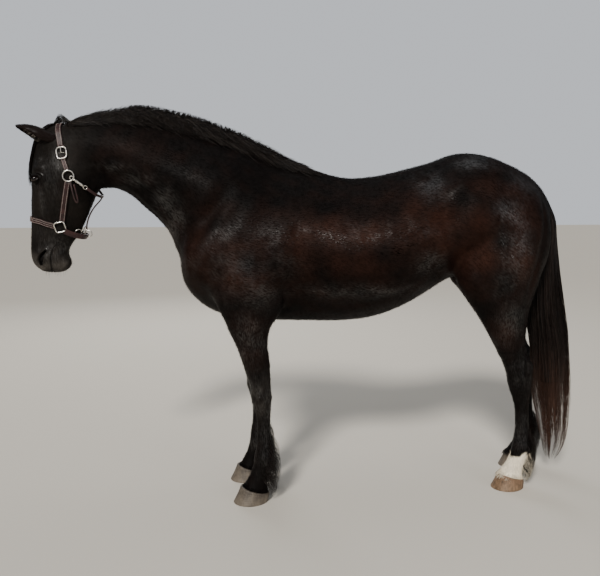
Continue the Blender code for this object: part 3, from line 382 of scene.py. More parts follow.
def raise_forms(mesh, forms):
    """Raises and sinks the skin along its normals where the forms lie, on both sides."""
    points, normals = places_of(mesh), normals_of(mesh)
    shift = np.zeros(len(points))
    for (x, y, z), along, width, lift in forms.values():
        for side in (1, -1) if y else (1,):
            centre = np.array([(x, side * y, z)])
            centre[:, 0] += step_of(centre)
            length = np.linalg.norm(along)
            direction = unit(np.array(along))
            away = points - centre
            near = np.flatnonzero((away ** 2).sum(axis=1) < (2.2 * (length + width)) ** 2)
            run = away[near] @ direction
            aside = (away[near] ** 2).sum(axis=1) - run ** 2
            shift[near] += lift * np.exp(-1.6 * (run / (length + width)) ** 2 - aside / width ** 2)
    move_to(mesh, points + normals * shift[:, None])


def soften_where(obj, mask, rounds):
    """Smooths away the edges that the lofts left where they meet."""
    data = bmesh.new()
    data.from_mesh(obj.data)
    data.verts.ensure_lookup_table()
    chosen = [data.verts[i] for i in np.flatnonzero(mask)]
    for _ in range(rounds):
        bmesh.ops.smooth_vert(data, verts=chosen, factor=0.5, use_axis_x=True, use_axis_y=True,
            use_axis_z=True)
    data.to_mesh(obj.data)
    data.free()


def refine(obj, chosen, rounds=3):
    """Splits the faces whose corners are all chosen, and smooths them."""
    data = bmesh.new()
    data.from_mesh(obj.data)
    mask = chosen(places_of(obj.data))
    faces = [f for f in data.faces if all(mask[v.index] for v in f.verts)]
    edges = {e for f in faces for e in f.edges}
    bmesh.ops.subdivide_edges(data, edges=list(edges), cuts=1, use_grid_fill=True)
    data.to_mesh(obj.data)
    data.free()
    soften_where(obj, chosen(places_of(obj.data)), rounds)


def line_distance(points, line):
    """How far each point (x, z) is from a line of such points, and how far along the line it is, 0 to 1."""
    line = np.array(line, dtype=float)
    lengths = np.linalg.norm(np.diff(line, axis=0), axis=1)
    total, done = lengths.sum(), 0.0
    best = np.full(len(points), 9.0)
    place = np.zeros(len(points))
    for a, b, length in zip(line, line[1:], lengths):
        t = np.clip(((points - a) @ (b - a)) / length ** 2, 0.0, 1.0)
        away = np.linalg.norm(points - a - t[:, None] * (b - a), axis=1)
        closer = away < best
        best = np.where(closer, away, best)
        place = np.where(closer, (done + t * length) / total, place)
        done += length
    return best, place


def curve(points, steps=6):
    return smooth_rows(points, steps)


def draw_lines(mesh, lines):
    """Ridges and creases along lines drawn on the side view, on both sides."""
    points, normals = places_of(mesh), normals_of(mesh)
    flat = points[:, (0, 2)].copy()
    flat[:, 0] -= step_of(points)
    facing = ease(np.abs(normals[:, 1]), 0.1, 0.45)
    shift = np.zeros(len(points))
    for line, width, lift in lines.values():
        path = curve(line)
        low, high = path.min(axis=0) - 3 * width, path.max(axis=0) + 3 * width
        near = ((flat > low) & (flat < high)).all(axis=1)
        near = np.flatnonzero(near)
        away, place = line_distance(flat[near], path)
        ends = ease(place, -0.02, 0.18) * ease(-place, -1.02, -0.82)
        shift[near] += lift * np.exp(-(away / width) ** 2) * facing[near] * ends
    move_to(mesh, points + normals * shift[:, None])


# Smaller forms of the left side, as above, shaped on a finer skin.
FINE_FORMS = forms_of({"lower lip": (-862, -22, 1100, 0, 0, 10, 22, 4),
    "chin": (-832, 0, 1118, 0, 0, 12, 26, 8), "nose wing": (-900, -58, 1155, 4, 0, 24, 14, 6),
    "nose rim": (-946, -48, 1150, -4, 0, 24, 12, 5), "ear base": (-870, -62, 1684, -12, 0, 4, 30, 8),
    "lip corner": (-838, -55, 1222, 4, 0, 6, 14, 3), "nose tip": (-965, -28, 1125, 4, 0, 20, 22, 3),
    "false nostril": (-930, -58, 1205, 4, 0, 20, 15, -4), "knee front": (4, -134, 492, 0, 0, 10, 24, 4),
    "knee side": (46, -176, 508, 0, 0, 12, 18, 5), "knee side low": (44, -172, 458, 0, 0, 6, 15, 4),
    "pisiform": (100, -146, 505, 0, 0, 12, 14, 6), "fore sesamoid": (98, -158, 205, 0, 0, 10, 16, 5),
    "hind sesamoid": (1372, -158, 196, 0, 0, 10, 16, 5), "hock side": (1300, -180, 560, 0, 0, 14, 20, 6),
    "hock side low": (1292, -174, 505, 0, 0, 8, 17, 4), "point of hock": (1376, -138, 612, 0, 0, 18, 16, 7),
    "hock hollow": (1335, -172, 615, 0, 0, 20, 12, -6), "forearm muscle": (-20, -205, 790, 12, 0, 70, 26, 6),
    "forearm back muscle": (60, -195, 770, 6, 0, 70, 20, 5),
    "chestnut fore": (40, -100, 610, 0, 0, 10, 8, 4)})

# Ridges and creases on the side view: the half-width, the lift, then x and z of each point.
LINES = lines_of({"neck ridge": (20, 7, -690, 1600, -640, 1578, -540, 1545, -430, 1480, -350, 1400),
    "under the neck ridge": (20, -7, -630, 1545, -530, 1505, -440, 1435, -370, 1350),
    "vein groove": (14, -6, -590, 1480, -500, 1420, -410, 1320, -340, 1220, -300, 1130),
    "windpipe": (16, 4, -600, 1450, -510, 1385, -430, 1290, -370, 1190),
    "shoulder front": (34, 4, -20, 1520, -80, 1420, -160, 1280, -230, 1140),
    "before the shoulder": (36, -3, -90, 1540, -150, 1420, -220, 1290),
    "shoulder spine": (26, 1.5, 60, 1500, 0, 1380, -70, 1250, -130, 1150),
    "triceps back": (22, -8, 190, 1330, 200, 1220, 180, 1100, 140, 990),
    "triceps split": (16, -5, 80, 1260, 50, 1150, 20, 1060),
    "upper arm": (20, -6, -200, 1120, -120, 1060, -40, 990),
    "arm and chest": (14, -4, -120, 985, -40, 945, 40, 925),
    "elbow fold": (10, -6, 150, 1000, 165, 940, 150, 890), "girth vein": (10, 3, 230, 960, 330, 985, 450,
    1010, 600, 1015, 700, 1035), "belly line": (24, -4, 250, 935, 400, 930, 550, 950, 700, 995, 800, 1050),
    "flank fold": (22, 7, 830, 1300, 850, 1220, 890, 1130, 950, 1050),
    "before the flank fold": (22, -6, 790, 1280, 800, 1200, 840, 1110, 900, 1030),
    "last rib": (18, 3, 680, 1400, 720, 1300, 720, 1200, 690, 1120),
    "rib a": (13, 1.6, 600, 1380, 630, 1280, 630, 1180, 600, 1100),
    "rib b": (13, 1.4, 520, 1370, 550, 1270, 550, 1170, 520, 1090),
    "rib c": (13, 1.2, 440, 1360, 470, 1260, 470, 1160, 440, 1080),
    "hip ridge": (20, 5, 930, 1500, 980, 1440, 1030, 1370), "thigh front": (30, 5, 1000, 1400, 990, 1280, 980,
    1160, 990, 1070), "thigh split": (18, -5, 1180, 1430, 1200, 1320, 1170, 1180, 1130, 1060),
    "ham line": (14, -6, 1345, 1450, 1352, 1330, 1335, 1200, 1300, 1060, 1280, 960),
    "ham ridge": (24, 5, 1300, 1440, 1312, 1320, 1290, 1190, 1250, 1060),
    "stifle groove": (14, -5, 1010, 1120, 1060, 1030, 1080, 950),
    "gaskin split": (13, -5, 1130, 980, 1170, 880, 1215, 780, 1245, 700),
    "gaskin back": (10, -6, 1290, 900, 1300, 820, 1318, 740),
    "shin edge": (11, 4, 1140, 800, 1185, 710, 1215, 640), "forearm split": (9, -4, 10, 860, 20, 760, 35, 660,
    45, 580), "forearm back split": (8, -3, 70, 800, 72, 700, 74, 600),
    "fore tendon": (7.5, -4.5, 62, 440, 62, 360, 66, 270), "fore cannon vein": (4, 1.5, 40, 430, 44, 360, 50,
    290), "hind tendon": (7.5, -4.5, 1330, 460, 1330, 380, 1336, 290),
    "knee vein a": (4.5, 1.8, 10, 600, 30, 540, 24, 480, 36, 420),
    "knee vein b": (4.5, 1.5, 60, 590, 52, 520, 62, 460), "face crest": (8, 5, -905, 1455, -902, 1420, -898,
    1370, -893, 1330), "under the face crest": (12, -4, -882, 1450, -882, 1400, -878, 1350),
    "nose bone edge": (8, 3, -950, 1440, -952, 1380, -954, 1310, -955, 1250),
    "side of the nose": (14, -4, -928, 1400, -930, 1330, -930, 1260),
    "cheek edge": (10, -3.5, -870, 1500, -862, 1450, -845, 1400, -815, 1362, -775, 1345),
    "cheek rim": (14, 3, -850, 1500, -842, 1452, -825, 1412, -795, 1382),
    "jaw back edge": (12, 4, -690, 1580, -672, 1530, -676, 1470, -700, 1420),
    "behind the jaw": (16, -7, -650, 1590, -640, 1540, -648, 1490),
    "face vein": (3.5, 1.8, -850, 1345, -872, 1365, -888, 1400, -898, 1430),
    "face vein low": (3, 1.4, -872, 1365, -895, 1330, -912, 1290),
    "eye hollow": (16, -4, -905, 1578, -885, 1592, -862, 1596),
    "brow arch": (12, 4, -950, 1528, -932, 1546, -908, 1554, -882, 1545),
    "tear trough": (6, -2, -946, 1482, -950, 1455, -944, 1425),
    "cheek bone": (13, 3, -890, 1470, -862, 1486, -835, 1520, -818, 1570),
    "lip fold a": (4, -2, -862, 1236, -852, 1246, -838, 1246),
    "lip fold b": (5, -2, -834, 1225, -828, 1205, -832, 1185),
    "lip side": (7, 2.5, -900, 1100, -897, 1140, -892, 1175),
    "lower lip side": (6, 2.5, -872, 1100, -868, 1140, -862, 1180)})
MOUTH = [(-0.892, 1.066), (-0.886, 1.1), (-0.883, 1.14), (-0.878, 1.175), (-0.865, 1.202), (-0.846, 1.218)]
NOSTRIL = [(-0.906, 1.182), (-0.915, 1.172), (-0.925, 1.156), (-0.931, 1.138), (-0.929, 1.122)]
NOSTRIL_HALF_WIDTH = 0.01

# The eye: its long axis rises backwards, and it looks outwards and a little forwards.
EYE_TILT = radians(16)
EYE_HALF_LENGTH = 0.0205
EYE_ABOVE = 0.0125
EYE_BELOW = 0.01
LID = 0.0034


def eye_axes(side):
    """Along the eye, up across it, and outwards."""
    out = unit(np.array((-0.2, side * 0.97, 0.02)))
    along = np.array((cos(EYE_TILT), 0.0, sin(EYE_TILT)))
    along = unit(along - out * (along @ out))
    up = np.cross(out, along) * -side
    return along, up * (1 if up[2] > 0 else -1), out


def near_eye(points, reach):
    return (np.minimum(np.linalg.norm(points - EYE_CENTRE, axis=1),
        np.linalg.norm(points - EYE_CENTRE * (1, -1, 1), axis=1)) < reach)


def shape_eyes(mesh):
    """Draws the lids over the eyeballs and opens them."""
    points = places_of(mesh)
    for side in (-1, 1):
        centre = EYE_CENTRE * (1, -side, 1)
        along, up, out = eye_axes(side)
        near = np.flatnonzero(np.linalg.norm(points - centre, axis=1) < 0.075)
        away = points[near] - centre
        p, q, d = away @ along, away @ up, away @ out
        height = np.where(q > 0, EYE_ABOVE, EYE_BELOW) * (1 + 0.12 * p / EYE_HALF_LENGTH)
        ring = (np.abs(p / EYE_HALF_LENGTH) ** 1.7 + np.abs(q / height) ** 1.7) ** (1 / 1.7)
        flat = np.minimum(p * p + q * q, (EYE_RADIUS * 1.12) ** 2)
        ball = np.sqrt(np.maximum((EYE_RADIUS + LID) ** 2 - flat, 0.0))
        reach = np.hypot(p, q * 1.15)
        cover = 1 - ease(reach, 0.021, 0.036)
        level = d * (1 - cover) + ball * cover
        level += 0.0016 * np.exp(-((ring - 1.16) / 0.16) ** 2)
        upper = ease(q, -0.002, 0.004)
        level -= 0.0022 * upper * np.exp(-((ring - 1.62) / 0.13) ** 2)
        level += 0.0018 * upper * np.exp(-((ring - 1.95) / 0.2) ** 2)
        level -= 0.0014 * upper * np.exp(-((ring - 2.35) / 0.14) ** 2)
        level -= 0.0014 * (1 - upper) * np.exp(-((ring - 1.6) / 0.14) ** 2)
        level -= 0.0012 * (1 - upper) * np.exp(-((ring - 2.25) / 0.16) ** 2)
        level -= 0.0085 * (1 - ease(ring, 0.9, 1.03))
        points[near] = away + centre + out * (level - d)[:, None]
    move_to(mesh, points)


def shape_mouth(mesh):
    """The mouth line and the nostrils."""
    points, normals = places_of(mesh), normals_of(mesh)
    flat = points[:, (0, 2)]
    near = np.flatnonzero((points[:, 2] < 1.28) & (points[:, 0] < -0.78))
    facing = ease(np.abs(normals[near, 1]), 0.05, 0.3)
    mouth, place = line_distance(flat[near], curve(MOUTH))
    fade = ease(-place, -1.0, -0.7)
    shift = -0.004 * np.exp(-(mouth / 0.0018) ** 2) * fade
    shift += 0.0016 * np.exp(-((mouth - 0.0065) / 0.004) ** 2) * fade
    shift += -0.0035 * np.exp(-(np.linalg.norm(flat[near] - MOUTH[-1], axis=1) / 0.006) ** 2)
    slit, place = line_distance(flat[near], curve(NOSTRIL))
    half = (NOSTRIL_HALF_WIDTH * (0.3 + 0.8 * np.sin(pi * np.clip(place, 0.0, 1.0) ** 1.5) ** 0.8 + 0.25
        * place))
    shift += 0.0042 * np.exp(-((slit - half * 1.45) / 0.0042) ** 2)
    shift += -0.016 * (1 - ease(slit, half * 0.35, half * 1.05))
    below = ease(-normals[near, 2], 0.25, 0.6)
    parting = np.exp(-((flat[near, 0] - MOUTH[0][0]) / 0.0028) ** 2)
    shift = shift * facing - 0.006 * parting * below * (1 - facing)
    points[near] += normals[near] * shift[:, None]
    move_to(mesh, points)


def cut_feet(obj):
    """Ends each foot a little below the top of its hoof."""
    data = bmesh.new()
    data.from_mesh(obj.data)
    for side in (-1, 1):
        for fore, coronet in ((True, FORE_CORONET), (False, HIND_CORONET)):
            front_x, front_z, back_x, back_z = coronet
            step = foot_step(fore, side)
            middle = Vector(((front_x + back_x) / 2 + step, side * FOOT_SPREAD, (front_z + back_z) / 2
                - 0.007))
            normal = Vector((back_z - front_z, 0.0, front_x - back_x)).normalized()
            if normal.z > 0:
                normal = -normal
            faces = [f for f in data.faces if f.calc_center_median().z < 0.13 and f.calc_center_median().y
                * side > 0 and (f.calc_center_median().x < 0.6) == fore]
            edges = {e for f in faces for e in f.edges}
            verts = {v for f in faces for v in f.verts}
            cut = bmesh.ops.bisect_plane(data, geom=faces + list(edges) + list(verts), dist=1e-6,
                plane_co=middle, plane_no=normal, clear_outer=True)
            rim = [e for e in cut["geom_cut"] if isinstance(e, bmesh.types.BMEdge) and e.is_boundary]
            bmesh.ops.holes_fill(data, edges=rim)
    bmesh.ops.triangulate(data, faces=[f for f in data.faces if len(f.verts) > 4])
    data.to_mesh(obj.data)
    data.free()


def foot_step(fore, side):
    if side < 0:
        return 0.0
    return RIGHT_FORE_STEP if fore else RIGHT_HIND_STEP


def on_head(points):
    return (points[:, 0] < -0.655) & (points[:, 0] + 0.55 * (points[:, 2] - 1.45) < -0.64)


def on_low_leg(points):
    knee = (points[:, 0] < 0.6) & (points[:, 2] < 0.58)
    hock = (points[:, 0] > 0.6) & (points[:, 2] < 0.66)
    return knee | hock


def on_face_detail(points):
    muzzle = (points[:, 0] < -0.78) & (points[:, 2] < 1.235)
    return muzzle | near_eye(points, 0.062)


def on_lids_and_nostrils(points):
    nose = (points[:, 0] < -0.895) & (points[:, 0] > -0.955) & (points[:, 2] < 1.2) & (points[:, 2] > 1.09)
    mouth = line_distance(points[:, (0, 2)], curve(MOUTH, 2))[0] < 0.012
    side = np.abs(points[:, 1]) > 0.022
    return ((nose | (mouth & (points[:, 0] < -0.8))) & side) | near_eye(points, 0.036)


def near_eye_rim(points):
    slit = line_distance(points[:, (0, 2)], curve(NOSTRIL, 2))[0] < 0.0165
    mouth = line_distance(points[:, (0, 2)], curve(MOUTH, 2))[0] < 0.0055
    low = (points[:, 2] < 1.235) & (points[:, 0] < -0.8) & (np.abs(points[:, 1]) > 0.024)
    return ((slit | mouth) & low) | near_eye(points, 0.027)


def make_skin():
    skin = fused_flesh()
    points = places_of(skin.data)
    x, z = points[:, 0], points[:, 2]
    haunch = (x > 0.9) & (z > 1.3)
    shoulder = (x > -0.26) & (x < 0.24) & (z > 1.02) & (z < 1.48)
    soften_where(skin, haunch | shoulder, 18)
    raise_forms(skin.data, FORMS)
    refine(skin, on_head)
    refine(skin, on_low_leg)
    draw_lines(skin.data, LINES)
    raise_forms(skin.data, FINE_FORMS)
    refine(skin, on_face_detail, 2)
    refine(skin, on_lids_and_nostrils, 2)
    refine(skin, near_eye_rim, 1)
    shape_mouth(skin.data)
    shape_eyes(skin.data)
    cut_feet(skin)
    return skin


# The coat and the long hair: closed locks, each a few rings of points that end in a tip.

def locks(name, paths, facing, width, thickness, roots, tone, patch=0.003, sides=3):
    """Closed locks along these paths, flat against facing, with their patches on the map at roots."""
    count, rows = paths.shape[:2]
    along = unit(np.gradient(paths, axis=1))
    facing = unit(facing - along * (facing * along).sum(axis=2, keepdims=True))
    aside = np.cross(along, facing)
    angle = 2 * pi * (np.arange(sides) + 0.25) / sides
    ring = (paths[:, :-1, None, :] + (aside[:, :-1, None, :]
        * (np.cos(angle)[:, None] * width[:, :-1, None, None] / 2) + facing[:, :-1, None, :]
        * (np.sin(angle)[:, None] * thickness[:, :-1, None, None] / 2)))
    size = (rows - 1) * sides + 1
    points = np.concatenate((ring.reshape(count, -1, 3), paths[:, -1:, :]), axis=1).reshape(-1, 3)
    here = np.arange(sides)
    there = (here + 1) % sides
    quads = np.concatenate([np.stack((here, here + sides, there + sides, there), axis=1) + row * sides
        for row in range(rows - 2)])
    last = (rows - 2) * sides
    tips = np.stack((here + last, np.full(sides, size - 1), there + last), axis=1)
    level = 0.16 + 0.84 * np.arange(rows) / (rows - 1)
    quad_map = np.concatenate([np.stack((np.stack((here / sides, np.full(sides, level[row])), axis=1),
        np.stack((here / sides, np.full(sides, level[row + 1])), axis=1),
        np.stack(((here + 1) / sides, np.full(sides, level[row + 1])), axis=1),
        np.stack(((here + 1) / sides, np.full(sides, level[row])), axis=1)), axis=1)
        for row in range(rows - 2)])
    tip_map = np.stack((np.stack((here / sides, np.full(sides, level[-2])), axis=1),
        np.stack(((here + 0.5) / sides, np.full(sides, 1.0)), axis=1),
        np.stack(((here + 1) / sides, np.full(sides, level[-2])), axis=1)), axis=1)
    cap_map = np.stack((0.5 + 0.4 * np.cos(angle), 0.075 + 0.07 * np.sin(angle)), axis=1)[None]
    starts = (np.arange(count) * size)[:, None, None]
    caps = here[None]
    faces = [(group[None] + starts).reshape(-1, group.shape[1]) for group in (caps, quads, tips)]
    corner = np.clip(roots, 0.002, 0.998 - patch)[:, None, None, :]
    uv = np.concatenate([(part[None] * patch + corner).reshape(-1, 2)
        for part in (cap_map, quad_map, tip_map)])
    if tone.ndim == 2:
        tone = np.repeat(tone[:, None, :], rows, axis=1)
    shade = np.concatenate((np.repeat(tone[:, :-1], sides, axis=1), tone[:, -1:]), axis=1)
    return piece_of(name, placed(points), faces, uv, shade.reshape(-1, tone.shape[-1]))


def in_parts(name, limit, paths, facing, width, thickness, roots, tone, **more):
    """The same, as several pieces of fewer triangles than the limit."""
    rows = paths.shape[1]
    each = (rows - 2) * 6 + 3 + 1
    per_piece = limit // each
    parts = []
    for number, start in enumerate(range(0, len(paths), per_piece)):
        part = slice(start, start + per_piece)
        parts.append(locks(f"{name}_{number + 1}", paths[part], facing[part], width[part], thickness[part],
            roots[part], tone[part], **more))
    return parts


class Surface:
    """The drawn skin: its triangles, map and normals, and a tree to find places on it."""

    def __init__(self, mesh):
        mesh.calc_loop_triangles()
        self.points, self.normals = places_of(mesh), normals_of(mesh)
        flat = np.empty(len(mesh.loop_triangles) * 3, dtype=np.int32)
        mesh.loop_triangles.foreach_get("vertices", flat)
        self.triangles = flat.reshape(-1, 3).copy()
        mesh.loop_triangles.foreach_get("loops", flat)
        uv = np.empty(len(mesh.loops) * 2, dtype=np.float32)
        mesh.uv_layers["OFBake"].uv.foreach_get("vector", uv)
        self.map = uv.reshape(-1, 2)[flat.reshape(-1, 3)]
        a, b, c = (self.points[self.triangles[:, k]] for k in range(3))
        self.areas = np.linalg.norm(np.cross(b - a, c - a), axis=1) / 2
        self.middles = (a + b + c) / 3
        self.tree = BVHTree.FromPolygons(self.points.tolist(), self.triangles.tolist())

    def scatter(self, count, density):
        """Random places, their normals and their places on the map."""
        share = self.areas * density
        chosen = CHANCE.choice(len(share), size=count, p=share / share.sum())
        weights = CHANCE.dirichlet((1.0, 1.0, 1.0), size=count)[:, :, None]
        corners = self.triangles[chosen]
        return ((self.points[corners] * weights).sum(axis=1),
            unit((self.normals[corners] * weights).sum(axis=1)), (self.map[chosen] * weights).sum(axis=1))

    def over(self, points, height):
        """The nearest places on the skin, each raised by its height."""
        out = points.copy()
        for i, point in enumerate(points):
            place, normal = self.tree.find_nearest(point)[:2]
            if place is not None:
                out[i] = np.array(place) + np.array(normal) * height[i]
        return out

    def clear_of(self, points, gap):
        """The same points, with those inside the skin or nearer to it than the gap pushed out to it."""
        out = points.copy()
        for i, point in enumerate(points):
            place, normal = self.tree.find_nearest(point)[:2]
            rise = (Vector(point) - place).dot(normal)
            if rise < gap[i]:
                out[i] = np.array(place) + np.array(normal) * gap[i]
        return out


def between_sets(share, *sets):
    """Directions mixed by shares, in order: each next one takes over from those before."""
    mixed = sets[0]
    for weight, direction in zip(share, sets[1:]):
        mixed = mixed * (1 - weight[:, None]) + direction * weight[:, None]
    return mixed


def lie_of(points, normals):
    """Which way the coat points."""
    x, z = points[:, 0], points[:, 2]
    rows = len(points)
    trunk = np.tile((0.96, 0.0, -0.26), (rows, 1))
    neck = np.tile((0.78, 0.0, -0.62), (rows, 1))
    chest = np.tile((0.25, 0.0, -0.96), (rows, 1))
    head = np.tile((-0.06, 0.0, -1.0), (rows, 1))
    head[:, 0] += 0.35 * ease(x, -0.9, -0.76)
    haunch = np.tile((0.45, 0.0, -0.88), (rows, 1))
    leg = np.tile((0.1, 0.0, -1.0), (rows, 1))
    flow = between_sets((ease(-x, -0.02, 0.22), ease(-x, 0.1, 0.3) * ease(-z, -1.3, -1.1),
        ease(-(x + 0.55 * (z - 1.45)), 0.6, 0.7), ease(x, 0.92, 1.22), ease(-z, -1.02, -0.84)), trunk, neck,
        chest, head, haunch, leg)
    swirl = np.sin(x * 9.0 + np.sin(z * 7.0) * 1.5) * 0.1
    flow[:, 2] += swirl
    flow -= normals * (flow * normals).sum(axis=1, keepdims=True)
    return unit(flow)


def coat_tufts(surface, count):
    """Short tufts all over, the smallest on the face and the feet."""
    middles = surface.middles
    x, z = middles[:, 0], middles[:, 2]
    head = on_head(middles)
    density = np.where(head, 3.2, 1.0) * np.where(z < 0.62, 2.0, 1.0)
    density[near_eye(middles, 0.024)] = 0.0
    density[near_eye(middles, 0.04)] *= 0.6
    slit = line_distance(middles[:, (0, 2)], curve(NOSTRIL, 3))[0]
    density[(slit < 0.014) & head & (np.abs(middles[:, 1]) > 0.02)] = 0.0
    density[(z < 0.052)] = 0.0
    density[head & (z < 1.13)] *= 0.5
    roots, normals, places = surface.scatter(count, density)
    small = np.where(on_head(roots), 0.42, 1.0) * np.where(roots[:, 2] < 0.62, 0.62, 1.0)
    small = small * np.where(on_head(roots) & (roots[:, 2] < 1.22), 0.75, 1.0)
    length = small * vary(0.012, 0.021, count)
    flow = lie_of(roots, normals)
    aside = np.cross(normals, flow)
    drift = stray(0.0, 0.13, count) + 0.1 * np.sin(roots[:, 0] * 21 + roots[:, 2] * 17)
    flow = unit(flow + aside * drift[:, None])
    rise = small ** 1.3 * vary(0.0006, 0.0018, count)
    middle = surface.over(roots + flow * length[:, None] * 0.5, rise)
    tip = surface.over(roots + flow * length[:, None], rise * vary(0.3, 1.0, count))
    start = roots - normals * (0.0006 * small)[:, None]
    paths = np.stack((start, middle, tip), axis=1)
    facing = np.repeat(normals[:, None, :], 3, axis=1)
    width = (small ** 0.7 * vary(0.0014, 0.0026, count))[:, None] * np.array((0.45, 1.0, 0.0))
    thickness = np.full((count, 3), 0.00028) * (small[:, None] ** 0.5)
    light = stray(1.0, 0.12, count).clip(0.65, 1.5)[:, None]
    tone = coat_tone(roots) * light
    parts = in_parts("coat_tufts", 196000, paths, facing, width, thickness, places, tone)
    each = 1 + 2 * 3
    flow = np.repeat(flow_of(roots), each, axis=0)
    for part in parts:
        part.data.shade_flat()
        paint(part.data, flow[:len(part.data.vertices)], "flow")
        flow = flow[len(part.data.vertices):]
    return parts


# Where the coat is warm brown instead of black: centre (x, z) on the side view, reach along x and z, share.
WARM = [((0.45, 1.22), (0.42, 0.15), 0.85), ((0.2, 1.16), (0.16, 0.16), 0.6),
    ((0.8, 1.28), (0.18, 0.16), 1.0), ((1.02, 1.2), (0.16, 0.22), 0.8), ((1.22, 1.22), (0.14, 0.24), 0.75),
    ((1.1, 1.45), (0.2, 0.1), 0.45), ((-0.02, 1.14), (0.14, 0.16), 0.75), ((-0.2, 1.2), (0.14, 0.2), 0.55),
    ((0.0, 0.84), (0.08, 0.16), 0.5), ((1.2, 0.9), (0.1, 0.18), 0.55), ((0.5, 1.02), (0.35, 0.1), 0.45),
    ((-0.5, 1.6), (0.16, 0.1), 0.25)]
BLACK = np.array((0.0034, 0.0025, 0.0023))
BROWN = np.array((0.0285, 0.0108, 0.0067))
GREYED = np.array((0.033, 0.029, 0.025))
WHITE = np.array((0.82, 0.74, 0.59))


# Where the coat shines: the same columns, seen on the photo as soft grey light on the black.
SHEEN = [((-0.6, 1.555), (0.1, 0.022), 0.55), ((-0.47, 1.5), (0.08, 0.028), 0.55),
    ((-0.367, 1.41), (0.05, 0.06), 1.0), ((-0.315, 1.31), (0.04, 0.075), 0.9),
    ((-0.19, 1.54), (0.05, 0.05), 0.3), ((-0.25, 1.16), (0.05, 0.06), 0.45),
    ((-0.05, 1.1), (0.13, 0.12), 0.75), ((0.03, 1.01), (0.08, 0.07), 0.75), ((0.0, 0.8), (0.07, 0.15), 0.7),
    ((0.03, 0.52), (0.08, 0.09), 0.85), ((0.07, 0.35), (0.04, 0.12), 0.55), ((0.07, 0.2), (0.06, 0.06), 0.8),
    ((0.45, 1.005), (0.26, 0.032), 0.6), ((0.12, 1.18), (0.09, 0.1), 0.45), ((0.5, 1.27), (0.3, 0.06), 0.3),
    ((0.8, 1.13), (0.07, 0.05), 0.7), ((0.82, 1.46), (0.06, 0.07), 0.85), ((1.06, 1.575), (0.08, 0.035), 1.1),
    ((1.16, 1.33), (0.06, 0.11), 0.85), ((1.19, 1.18), (0.07, 0.13), 0.8), ((1.23, 1.46), (0.12, 0.08), 0.55),
    ((1.15, 1.02), (0.06, 0.08), 0.6), ((1.2, 0.86), (0.06, 0.12), 0.65), ((1.3, 0.6), (0.06, 0.08), 0.75),
    ((1.31, 0.3), (0.05, 0.12), 0.6), ((-0.845, 1.51), (0.04, 0.09), 0.75),
    ((-0.905, 1.4), (0.018, 0.07), 0.55), ((-0.87, 1.2), (0.06, 0.08), 0.7),
    ((-0.94, 1.58), (0.03, 0.04), 0.5)]


def sheen_of(points):
    """How much the coat shines at drawn places, in soft broken patches."""
    flat = points.copy()
    flat[:, 0] -= step_of(points)
    x, z = flat[:, 0], flat[:, 2]
    shine = np.zeros(len(points))
    for (cx, cz), (rx, rz), share in SHEEN:
        shine = np.maximum(shine, share * np.exp(-((x - cx) / rx) ** 2 - ((z - cz) / rz) ** 2))
    shine *= 0.75 + 0.45 * patchy(flat, 0.03, 31) + 0.35 * patchy(flat, 0.009, 32)
    return np.clip(1.15 * shine, 0.0, 1.0)


def flow_of(points):
    """Three shares for the material: hair that lies as on the neck, hair that points down, and sheen."""
    x, z = points[:, 0], points[:, 2]
    neck = np.maximum(ease(-x, -0.02, 0.22), ease(x, 0.92, 1.22))
    down = np.maximum(ease(-(x + 0.55 * (z - 1.45)), 0.6, 0.7), ease(-z, -1.02, -0.84))
    return np.stack((neck, down, sheen_of(points)), axis=1)


def patchy(points, size, seed):
    """A smooth random field from -1 to 1 over space."""
    chance = np.random.default_rng(seed)
    total = np.zeros(len(points))
    for _ in range(7):
        wave = chance.normal(0.0, 1.0, 3) / size
        total += np.sin(points @ wave + chance.uniform(0, 2 * pi))
    return total / 3.2


def coat_tone(points):
    """The coat's colour at drawn places: black, warm where the sun has bleached it, grey at the muzzle."""
    flat = points.copy()
    flat[:, 0] -= step_of(points)
    x, z = flat[:, 0], flat[:, 2]
    warm = np.zeros(len(points))
    for (cx, cz), (rx, rz), share in WARM:
        warm = np.maximum(warm, share * np.exp(-((x - cx) / rx) ** 2 - ((z - cz) / rz) ** 2))
    warm *= 0.8 + 0.45 * patchy(flat, 0.055, 3)
    warm = np.clip(0.85 * warm + 0.06 * patchy(flat, 0.02, 5), 0.0, 1.0)[:, None]
    tone = BLACK * (1 - warm) + BROWN * warm
    muzzle = ease(-z, -1.26, -1.1) * ease(-x, 0.78, 0.84)
    muzzle *= 0.75 + 0.3 * patchy(flat, 0.018, 8)
    face = 0.28 * ease(-x, 0.62, 0.8) * ease(z, 1.1, 1.3) * (0.8 + 0.4 * patchy(flat, 0.05, 9))
    knee = 0.55 * np.exp(-((z - 0.52) / 0.1) ** 2) * (x < 0.3) * (0.7 + 0.5 * patchy(flat, 0.012, 12))
    grey = np.clip(np.maximum(np.maximum(muzzle * 0.9, face), knee), 0.0, 1.0)[:, None]
    tone = tone * (1 - grey) + GREYED * grey * (1.0 + 1.1 * muzzle[:, None])
    bare = np.clip(1.0 - np.linalg.norm(flat[:, (0, 2)] - (-0.895, 1.085), axis=1) / 0.03, 0.0, 1.0)[:, None]
    tone = tone * (1 - 0.35 * bare)
    hind = (x > 0.6) & (points[:, 1] < 0)
    ragged = 0.012 * patchy(flat, 0.01, 21) + 0.01 * np.sin(flat[:, 1] * 90)
    edge = 0.168 + 0.2 * (x - 1.3) + ragged
    sock = (hind * ease(-(z - edge), -0.006, 0.006))[:, None]
    return tone * (1 - sock) + WHITE * sock * (0.92 + 0.1 * patchy(flat, 0.02, 23)[:, None])


